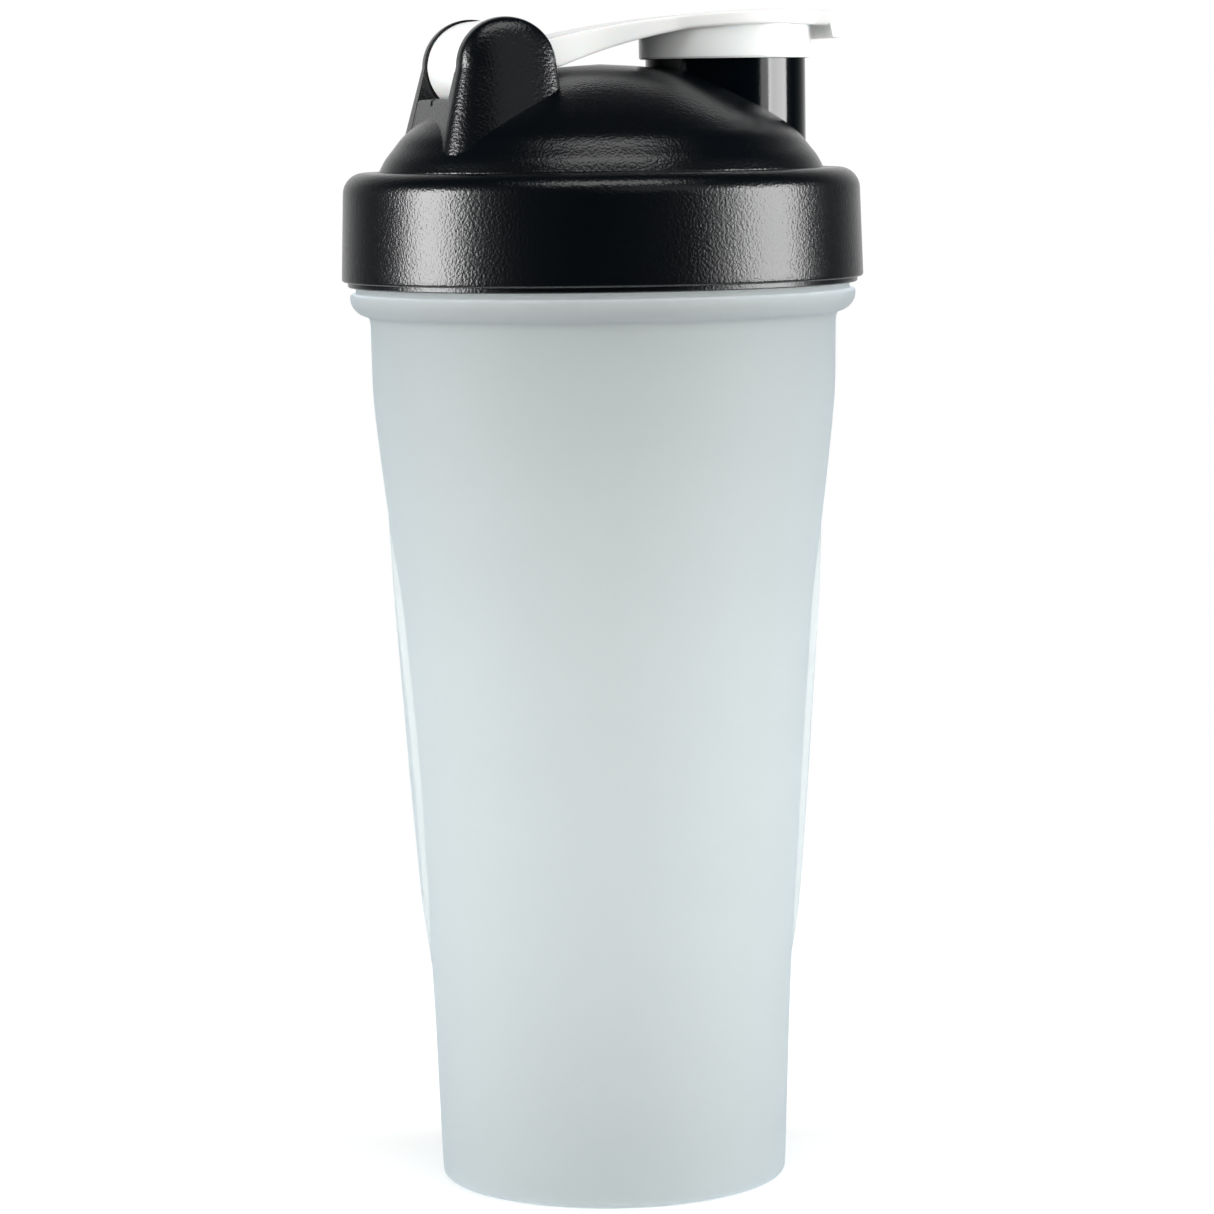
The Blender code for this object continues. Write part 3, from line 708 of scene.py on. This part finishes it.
def make_jar():
    """The jar, from the middle of its floor to the middle of its underside."""
    inner, outer = jar_inner_rows(), jar_outer_rows()
    r, z = np.vstack([inner, outer]).T
    angle = pad_columns(z, r)
    across = np.minimum(np.abs(np.mod(angle - PAD_YAW + np.pi / 2, np.pi) - np.pi / 2), np.pi / 2)
    outside = np.arange(len(z)) >= len(inner)
    on_body = outside & (z > PAD_LOW) & (z < PAD_HIGH)
    rise = np.where(on_body, along_height(PAD_OUTLINE, z) - r, 0.0)
    into_pad = (pad_half_width(z) - across.T * r) / PAD_RAMP + 0.5
    radius = r + rise * smooth_step(into_pad)
    on_neck = outside & (z > NECK_RING_TOP + 0.6) & (z < RIM_TOP - 0.8)
    radius = radius.T + np.where(on_neck[:, None], thread_height(angle, z[:, None], NECK_THREAD_START), 0.0)
    x, y = radius * np.cos(angle), radius * np.sin(angle)
    jar = grid_object("frosted_jar", np.stack([x, y, z[:, None] + 0 * angle], -1))
    smooth(jar, 50)
    jar.data.materials.append(FROSTED)
    return jar


jar = make_jar()
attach(jar, "jar")
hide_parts("jar")
report(jar)

# %% [markdown]
# ## The lid
#
# The lid is one moulding too: collar, dome, spout, two hinge ears and the low wall behind the hinge. Each
# of these has a simple surface of its own, so each is made as its own grid, and the grids are then joined
# and hollowed as solids. That leaves crisp lines where the shapes meet, as a mould does. The spout keeps
# a polished finish, and everything else on the lid is grained.

# %% Lid dimensions

COLLAR_TOP = 192.8
COLLAR_TOP_RADIUS = 48.9
COLLAR_FOOT = 172.3
COLLAR_ROUND = 4.0
LID_BORE = 46.5
LID_CEILING = 191.1
SEAL_LIP_RADIUS = 41.5
SEAL_LIP_FOOT = 187.5
DOME_OUTLINE = [(0.3, 212.6), (8.8, 212.0), (17.5, 210.6), (24.5, 207.9), (29.0, 205.5), (35.3, 201.2)]
DOME_OUTLINE += [(37.7, 199.1), (39.2, 197.2), (40.9, 195.0), (42.0, 192.9)]
DOME_WALL = 2.1
LID_THREAD_RADIUS = 46.1
LID_THREAD_START = NECK_THREAD_START - THREAD_LEAD / THREAD_STARTS / 2

SPOUT_X = 24.6
SPOUT_RADIUS = 15.2
SPOUT_BORE = 13.6
SPOUT_TOP = 216.5
SPOUT_EDGE = 0.8

EAR_INNER_Y = 13.8
EAR_ROOT_Y = 13.5
EAR_OUTER_Y = 21.0
EAR_FLARE = 0.33
EAR_BACK_SLOPE = 0.25
EAR_FRONT_SLOPE = 0.10
EAR_FOOT = 190.0
EAR_CROWN_AT = 0.1
EAR_CROWN_BACK = 0.27
EAR_CROWN_FRONT = 0.28
EAR_CROWN_POWER = 2.5
EAR_EDGE_POWER = 6.0
EAR_FRONT_SHARPER = 6.0
WALL_TOP = 206.5
WALL_INSET = 0.05
WALL_ROUND = 0.5
NOTCH_HALF_WIDTH = 1.3
NOTCH_DEPTH = 1.1
WELL_RADIUS = 9.4
WELL_WALL = 1.8
PIN_HOLE_RADIUS = 3.3
PIN_HOLE_END_Y = 16.9
print(f"the spout's bore is {2 * SPOUT_BORE:.1f} mm, the lid's {2 * LID_BORE:.1f} mm")

# %% Collar and dome


def lid_outer_rows():
    """Down from the top of the dome, past a fine groove, over the collar's shoulder to the thin lip."""
    dome = fair(DOME_OUTLINE, 10)
    groove = [(42.05, 192.45), (42.4, 192.45), (42.55, COLLAR_TOP)]
    flat = line((43.2, COLLAR_TOP), (COLLAR_TOP_RADIUS - COLLAR_ROUND, COLLAR_TOP), 2)
    shoulder = arc((COLLAR_TOP_RADIUS - COLLAR_ROUND, COLLAR_TOP - COLLAR_ROUND), COLLAR_ROUND, 90, 1, 18)
    side = line((COLLAR_TOP_RADIUS + 0.02, 188.4), (COLLAR_RADIUS, COLLAR_FOOT + 0.7), 20)
    foot = arc((COLLAR_RADIUS - 0.5, COLLAR_FOOT + 0.5), 0.5, 0, -90, 5)
    lip = np.vstack([[(COLLAR_RADIUS - 1.1, COLLAR_FOOT)], [(COLLAR_RADIUS - 1.1, COLLAR_LIP + 0.2)],
                     [(COLLAR_RADIUS - 1.3, COLLAR_LIP)], [(0.4, COLLAR_LIP)]])
    return np.vstack([dome, groove, flat, shoulder, side, foot, lip])


def lid_hollow_rows():
    """The inside of the lid: under the dome, round the seal's lip, over the rim and down to the mouth."""
    dome = fair(DOME_OUTLINE, 6)
    under = np.stack([dome[:, 0] * (1 - DOME_WALL / 42.0), dome[:, 1] - DOME_WALL], -1)
    under = under[under[:, 1] > 193.5]
    lip = [(SEAL_LIP_RADIUS - 1.6, SEAL_LIP_FOOT + 0.4), (SEAL_LIP_RADIUS - 1.2, SEAL_LIP_FOOT)]
    lip += [(SEAL_LIP_RADIUS - 0.3, SEAL_LIP_FOOT), (SEAL_LIP_RADIUS, SEAL_LIP_FOOT + 0.3)]
    room = [(SEAL_LIP_RADIUS, LID_CEILING), (LID_BORE - 0.5, LID_CEILING), (LID_BORE, LID_CEILING - 0.5)]
    mouth = [(LID_BORE, COLLAR_FOOT + 0.4), (LID_BORE + 0.7, COLLAR_FOOT), (LID_BORE + 0.7, COLLAR_LIP - 1)]
    return np.vstack([under, lip, room, mouth, [(0.4, COLLAR_LIP - 1)]])


# %% Ears and back wall


def ear_section(z):
    """Where an ear ends at the back and front, and how far it reaches out past its root, at each height."""
    rise = z - PIVOT_Z
    half = np.sqrt(EAR_ROUND**2 - np.clip(rise, 0.0, EAR_ROUND) ** 2)
    back = PIVOT_X - half + EAR_BACK_SLOPE * np.minimum(rise, 0.0)
    front = PIVOT_X + half - EAR_FRONT_SLOPE * np.minimum(rise, 0.0)
    return back, front, EAR_OUTER_Y - EAR_FLARE * rise - EAR_ROOT_Y


def make_ear(side):
    """A leaning lobe with a crowned face, fullest near its middle, that falls off round its own outline.

    out tells how near a point lies to the outline, from 0 to 1: along the ear below the pivot, and from the
    pivot outwards above it. The edge is a superellipse of out, sharper at the front than at the back.
    """
    round_top = PIVOT_Z + EAR_ROUND * np.sin(np.linspace(0.03, 1.53, 44))
    z = np.concatenate([np.linspace(EAR_FOOT, PIVOT_Z, 48), round_top])
    back, front, reach = (part[:, None] for part in ear_section(z))
    rise = np.maximum(z - PIVOT_Z, 0.0)[:, None]
    half, middle = (front - back) / 2, (back + front) / 2
    t = -np.cos(np.linspace(0, np.pi, 84))
    along = np.where(rise > 0, t * half / EAR_ROUND, t)
    out = np.where(rise > 0, np.hypot(along, rise / EAR_ROUND), np.abs(t))
    power = EAR_EDGE_POWER + EAR_FRONT_SHARPER * smooth_step(along)
    fall = np.where(along < EAR_CROWN_AT, EAR_CROWN_BACK, EAR_CROWN_FRONT)
    crown = 1 - fall * np.abs(along - EAR_CROWN_AT) ** EAR_CROWN_POWER
    edge = np.clip(1 - np.minimum(out, 1.0) ** power, 0.0, 1.0) ** (1 / power)
    root_t = np.linspace(1, -1, 12)[1:-1]
    x = middle + half * np.hstack([t, root_t])
    y = side * np.hstack([EAR_ROOT_Y + reach * crown * edge, EAR_ROOT_Y + 0 * z[:, None] * root_t])
    return grid_object("ear", np.stack([x, y, z[:, None] + 0 * x], -1))


def make_back_wall():
    """A wall between the ears, in line with their back edges, with a small notch in its top."""
    round_from = WALL_TOP - WALL_ROUND
    round_top = round_from + WALL_ROUND * np.sin([0.5, 1.0, 1.5])
    z = np.concatenate([np.linspace(EAR_FOOT, round_from, 24), round_top])
    y = np.linspace(-EAR_INNER_Y - 0.4, EAR_INNER_Y + 0.4, 97)
    notch = NOTCH_DEPTH * smooth_step((NOTCH_HALF_WIDTH - np.abs(y)) / 0.7)
    above_foot = (z - EAR_FOOT) / (WALL_TOP - EAR_FOOT)
    height = z[:, None] - notch * smooth_step((above_foot[:, None] - 0.6) / 0.4)
    inset = WALL_ROUND - np.sqrt(WALL_ROUND**2 - np.clip(z - round_from, 0.0, WALL_ROUND) ** 2)
    outer = ear_section(height)[0] + WALL_INSET + inset[:, None]
    x = np.hstack([outer, PIVOT_X + 0 * outer])
    height = np.hstack([height, height[:, ::-1]])
    across = np.hstack([y, y[::-1]]) + 0 * x
    return grid_object("back_wall", np.stack([x, across, height], -1))


# %% Thread inside the lid

THREAD_END_SIZE = 0.3


def tube(name, path, radius, sides=12):
    """A round tube along a path of points, its sections square to the path. radius may vary along it."""
    path = np.asarray(path, float)
    along = np.gradient(path, axis=0)
    along /= np.linalg.norm(along, axis=1, keepdims=True)
    outward = path - path.mean(0)
    across = np.cross(along, outward)
    across /= np.linalg.norm(across, axis=1, keepdims=True)
    outward = np.cross(across, along)
    angle = np.linspace(0, 2 * np.pi, sides, endpoint=False)
    size = np.broadcast_to(radius, len(path))[:, None, None]
    ring = np.cos(angle)[None, :, None] * outward[:, None] + np.sin(angle)[None, :, None] * across[:, None]
    return grid_object(name, path[:, None] + size * ring)


def lid_thread(start):
    """One ridge inside the collar, half sunk in its wall and tapering at both ends."""
    turned_by = np.linspace(0, THREAD_SWEEP, 120)
    angle = turned_by + 2 * np.pi * start / THREAD_STARTS
    height = LID_THREAD_START + THREAD_LEAD * turned_by / (2 * np.pi)
    x, y = LID_THREAD_RADIUS * np.cos(angle), LID_THREAD_RADIUS * np.sin(angle)
    ends = np.minimum(turned_by, THREAD_SWEEP - turned_by) / THREAD_RUN_OUT
    size = THREAD_END_SIZE + (1 - THREAD_END_SIZE) * smooth_step(ends)
    return tube("lid_thread", np.stack([x, y, height], -1), THREAD_RIDGE * size)


print(f"a thread ridge rises {THREAD_LEAD * THREAD_SWEEP / (2 * np.pi):.1f} mm along its run")


# %% Put the lid together


def make_lid():
    """The lid: solids joined, then hollowed."""
    lid = turned("grained_lid", lid_outer_rows(), columns=288)
    spout_rim = arc((SPOUT_RADIUS - SPOUT_EDGE, SPOUT_TOP - SPOUT_EDGE), SPOUT_EDGE, 90, 0, 6)
    spout_foot = [(SPOUT_RADIUS, EAR_FOOT + 2), (0.4, EAR_FOOT + 2)]
    spout_profile = np.vstack([[(0.4, SPOUT_TOP)], spout_rim, spout_foot])
    combine(lid, turned("spout", spout_profile, 160, (SPOUT_X, 0.0)), "UNION")
    combine(lid, make_back_wall(), "UNION")
    for side in (-1, 1):
        combine(lid, make_ear(side), "UNION")
    hollow = turned("hollow", lid_hollow_rows(), columns=192)
    combine(hollow, bar_y("well_boss", WELL_RADIUS + WELL_WALL, EAR_INNER_Y + WELL_WALL), "DIFFERENCE")
    bore_low, bore_high = LID_CEILING + 1, SPOUT_TOP + 5
    bore_profile = [(0.4, bore_high), (SPOUT_BORE, bore_high), (SPOUT_BORE, bore_low), (0.4, bore_low)]
    combine(hollow, turned("bore", bore_profile, 160, (SPOUT_X, 0.0)), "UNION")
    combine(lid, hollow, "DIFFERENCE")
    combine(lid, bar_y("well", WELL_RADIUS, EAR_INNER_Y, edge=0.01), "DIFFERENCE")
    combine(lid, bar_y("pin_hole", PIN_HOLE_RADIUS, PIN_HOLE_END_Y, edge=0.01), "DIFFERENCE")
    for start in range(THREAD_STARTS):
        combine(lid, lid_thread(start), "UNION")
    return lid


def polish_spout(obj):
    """Gives the faces of the spout's outer wall, rim and bore the second material."""
    count = len(obj.data.polygons)
    centres = np.empty(count * 3)
    normals = np.empty(count * 3)
    obj.data.polygons.foreach_get("center", centres)
    obj.data.polygons.foreach_get("normal", normals)
    centres, normals = centres.reshape(-1, 3) / MM, normals.reshape(-1, 3)
    from_axis = np.hypot(centres[:, 0] - SPOUT_X, centres[:, 1])
    upright = np.abs(normals[:, 2]) < 0.05
    on_wall = upright & (np.abs(from_axis - SPOUT_RADIUS) < 0.1) & (centres[:, 2] > 192)
    on_rim = (centres[:, 2] > SPOUT_TOP - 0.85) & (from_axis < SPOUT_RADIUS + 0.1)
    polished = on_wall | on_rim | (upright & (np.abs(from_axis - SPOUT_BORE) < 0.1))
    obj.data.polygons.foreach_set("material_index", polished.astype(np.int32))
    print(f"{polished.sum()} faces of the spout are polished")


lid = make_lid()
lid.data.materials.clear()
lid.data.materials.append(GRAINED)
lid.data.materials.append(POLISHED)
polish_spout(lid)
smooth(lid, 32)
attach(lid, "lid")
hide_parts("lid")
report(lid)

# %% [markdown]
# ## The flip cap
#
# Knuckle, arm, plate and thumb tab are one springy white moulding. Seen from the side it has a top line
# and an underside line, and from above it has a width. So it is a rounded box section carried along X,
# whose height and width change from station to station. Skirt, plug and the two hinge pins are turned and
# joined on.

# %% Cap dimensions

KNUCKLE_RADIUS = 8.6
KNUCKLE_HALF_WIDTH = 13.4
KNUCKLE_VALLEY = 2.0
PIN_RADIUS = 3.0
PIN_END_Y = 16.4
CAP_ARC_RADIUS = 194.0
CAP_CREST_X = 31.3
CAP_PLATE = 2.7
ARM_START_X = 14.0
ARM_TAPER = 0.07
ARM_SWELL = 0.0022
ARM_UNDERSIDE = 212.05
ARM_WAIST = 1.2
ARM_WAIST_X = -2.0
ARM_WAIST_REACH = 9.0
CAP_DISC_RADIUS = 17.6
TAB_HALF_WIDTH = 10.5
TAB_CORNER = 3.3
TAB_ROUND = 2.2
TAB_LIP = 3.0
TAB_LIP_EDGE = 0.8
TAB_FOOT = 217.0
CAP_EDGE = 0.6
SKIRT_RADIUS, SKIRT_INNER, SKIRT_FOOT = 16.4, 15.6, 213.4
PLUG_RADIUS, PLUG_INNER, PLUG_FOOT = 13.1, 11.8, 211.8
print(f"the plug is {SPOUT_BORE - PLUG_RADIUS:.1f} mm inside the spout's bore")

# %% Lines of the cap, as functions of x


def cap_arc(x):
    """Upper face of arm and plate: one long flat arc that crests over the spout."""
    return CAP_CREST_Z - (CAP_CREST_X - x) ** 2 / (2 * CAP_ARC_RADIUS)


def quarter_drop(x, start, size):
    """How far a rounded end has dropped: a quarter circle that starts level and ends upright."""
    into = np.clip((x - start) / size, 0.0, 1.0)
    return size * (1 - np.sqrt(1 - into**2))


def knuckle_rise(x):
    """Half the height of the round knuckle, falling away steeply past its end."""
    off = np.abs(x - PIVOT_X)
    inside = np.sqrt(np.clip(KNUCKLE_RADIUS**2 - off**2, 0.0, None))
    return inside - 8 * np.clip(off - KNUCKLE_RADIUS, 0.0, None)


def cap_top(x):
    """Upper line: knuckle and arm with a soft valley between them, rounded off at the tip."""
    arm = np.where(x < PIVOT_X, PIVOT_Z - 20, cap_arc(x))
    top = soft_max(PIVOT_Z + knuckle_rise(x), arm, KNUCKLE_VALLEY)
    return top - quarter_drop(x, CAP_TIP_X - TAB_ROUND, TAB_ROUND)


def cap_underside(x):
    """Lower line: knuckle, an arm that thins towards the plate, the even plate and the lip of the tab."""
    past = np.clip(ARM_START_X - x, 0.0, None)
    arm = cap_arc(x) - CAP_PLATE - ARM_TAPER * past - ARM_SWELL * past**2
    arm = np.where(x < PIVOT_X, PIVOT_Z + 20, np.maximum(arm, ARM_UNDERSIDE))
    low = -soft_max(knuckle_rise(x) - PIVOT_Z, -arm, KNUCKLE_VALLEY / 2)
    lip = smooth_step((x - (CAP_TIP_X - TAB_LIP - 0.3)) / 0.6)
    low = low + (TAB_FOOT - low) * lip
    return low + quarter_drop(x, CAP_TIP_X - TAB_LIP_EDGE, TAB_LIP_EDGE)


def cap_half_width(x):
    """Half the width in plan: knuckle and waisted arm, a disc over the spout, then the rounded tab."""
    disc = np.sqrt(np.clip(CAP_DISC_RADIUS**2 - (x - SPOUT_X) ** 2, 0.0, None))
    waist = KNUCKLE_HALF_WIDTH - ARM_WAIST * np.exp(-(((x - ARM_WAIST_X) / ARM_WAIST_REACH) ** 2))
    tab = TAB_HALF_WIDTH - quarter_drop(x, CAP_TIP_X - TAB_CORNER, TAB_CORNER)
    return soft_max(disc, np.where(x > SPOUT_X, tab, waist), 1.5)


print(f"over the lid's axis, the arm is {float(cap_top(0.0) - cap_underside(0.0)):.1f} mm thick")

# %% The rounded box section and the cap


def box_ring(corner_steps=6, across_steps=14, side_steps=4):
    """Once round a rounded box, as weights of its half-sizes and of its corner radius.

    A point of the section is (ky * (w - r) + cy * r, kz * (h - r) + cz * r).
    """
    pieces = []
    corners = [(1, 1, 0), (-1, 1, 90), (-1, -1, 180), (1, -1, 270)]
    for (sy, sz, start), (ny, nz, _) in zip(corners, corners[1:] + corners[:1]):
        turn_by = np.radians(start + np.linspace(0, 90, corner_steps + 1))
        cosine, sine = np.cos(turn_by), np.sin(turn_by)
        pieces.append(np.stack([sy + 0 * cosine, cosine, sz + 0 * cosine, sine], -1))
        steps = across_steps if sy != ny else side_steps
        share = np.linspace(0, 1, steps + 1)[1:-1, None]
        here = np.array([[sy, cosine[-1], sz, sine[-1]]])
        there = np.array([[ny, cosine[-1], nz, sine[-1]]])
        pieces.append(here + share * (there - here))
    return np.vstack(pieces).T


def cap_stations():
    """Where the sections stand: closest round the knuckle, at the tab's lip and round the tip."""
    knuckle = PIVOT_X - KNUCKLE_RADIUS * np.cos(np.radians(np.linspace(2, 172, 80)))
    middle = np.linspace(knuckle[-1] + 0.2, 41.9, 130)
    lip = np.linspace(42.0, 43.1, 14)
    tip = CAP_TIP_X - TAB_CORNER + TAB_CORNER * np.sin(np.radians(np.linspace(20, 89, 24)))
    return np.concatenate([knuckle, middle, lip, tip[tip > 43.15]])


def ring_under_plate(name, outer, inner, foot, edge=0.25):
    """A turned ring that hangs from the middle of the plate, its two lower edges rounded."""
    outer_side = [(outer, 1.0), (outer, 0.5), (outer, edge / 5), (outer - edge, 0.0)]
    inner_side = [(inner + edge, 0.0), (inner, edge / 5), (inner, 0.5), (inner, 1.0)]
    section = np.array(outer_side + inner_side)
    angle = np.linspace(0, 2 * np.pi, 160, endpoint=False)
    r, share = section[:, :1], section[:, 1:]
    x, y = SPOUT_X + r * np.cos(angle), r * np.sin(angle)
    top = cap_arc(x) - CAP_PLATE / 2
    return grid_object(name, np.stack([x, y, foot + share * (top - foot)], -1), ring=True)


def make_cap():
    """The cap: one carried section for knuckle, arm, plate and tab, with pins, skirt and plug joined on."""
    x = cap_stations()[:, None]
    ky, cy, kz, cz = box_ring()
    top, low, w = cap_top(x), cap_underside(x), cap_half_width(x)
    half = np.maximum((top - low) / 2, 0.02)
    r = np.minimum(CAP_EDGE, 0.8 * half)
    y = ky * (w - r) + cy * r
    z = (top + low) / 2 + kz * (half - r) + cz * r
    cap = grid_object("white_flip_cap", np.stack([x + 0 * y, y, z], -1))
    combine(cap, ring_under_plate("skirt", SKIRT_RADIUS, SKIRT_INNER, SKIRT_FOOT), "UNION")
    combine(cap, ring_under_plate("plug", PLUG_RADIUS, PLUG_INNER, PLUG_FOOT), "UNION")
    combine(cap, bar_y("pins", PIN_RADIUS, PIN_END_Y), "UNION")
    return cap


cap = make_cap()
cap.data.materials.clear()
cap.data.materials.append(WHITE)
smooth(cap, 32)
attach(cap, "cap")
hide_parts("flip_cap")
report(cap)

# %% [markdown]
# ## The seal ring and the whisk ball
#
# Neither shows while the bottle is shut, but the bottle needs both. The seal is a flat rubber ring,
# turned from a rounded section. The ball could be a few crossing hoops, but the real one is one steel
# wire wound from pole to pole, so it is a round section carried along a spiral on a sphere.

# %% Seal ring

SEAL_INNER = 42.0
SEAL_EDGE = 0.4


def make_seal():
    """A flat ring with rounded edges, between the rim of the jar and the ceiling of the lid."""
    edge = SEAL_EDGE
    low, high = SEAL_LOW[2] + edge, SEAL_HIGH[2] - edge
    outer, inner = SEAL_HIGH[0] - edge, SEAL_INNER + edge
    section = np.vstack([arc((outer, high), edge, 90, 0, 4), arc((outer, low), edge, 0, -90, 4),
                         arc((inner, low), edge, -90, -180, 4), arc((inner, high), edge, 180, 90, 4)])
    seal = turned("rubber_seal", section, columns=160, ring=True)
    smooth(seal, 50)
    seal.data.materials.append(SILICONE)
    return seal


seal = make_seal()
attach(seal, "seal")
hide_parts("lid_seal")
report(seal)

# %% Whisk ball

WIRE_RADIUS = 0.8
BALL_RADIUS = 25.0
BALL_TURNS = 7
BALL_POLE_ANGLE = math.radians(14)
BALL_CENTRE_Z = (BALL_LOW[2] + BALL_HIGH[2]) / 2
WIRE_STEPS = 1100
WIRE_END_SHARE = 1 / 900


def make_whisk():
    """One wire on a sphere: the angle from the pole and the turn round the axis both grow evenly."""
    share = np.linspace(0, 1, WIRE_STEPS)
    polar = BALL_POLE_ANGLE + (np.pi - 2 * BALL_POLE_ANGLE) * share
    turn_by = 2 * np.pi * BALL_TURNS * share
    ring = BALL_RADIUS * np.sin(polar)
    place = [ring * np.cos(turn_by), ring * np.sin(turn_by), BALL_CENTRE_Z + BALL_RADIUS * np.cos(polar)]
    ends = np.minimum(share, 1 - share) / WIRE_END_SHARE
    radius = WIRE_RADIUS * np.sqrt(np.clip(1 - np.clip(1 - ends, 0.0, 0.9) ** 2, 0.0, 1.0))
    whisk = tube("steel_whisk_ball", np.stack(place, -1), radius, sides=14)
    smooth(whisk, 50)
    whisk.data.materials.append(STEEL)
    return whisk


whisk = make_whisk()
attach(whisk, "ball")
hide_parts("whisk_ball")
report(whisk)
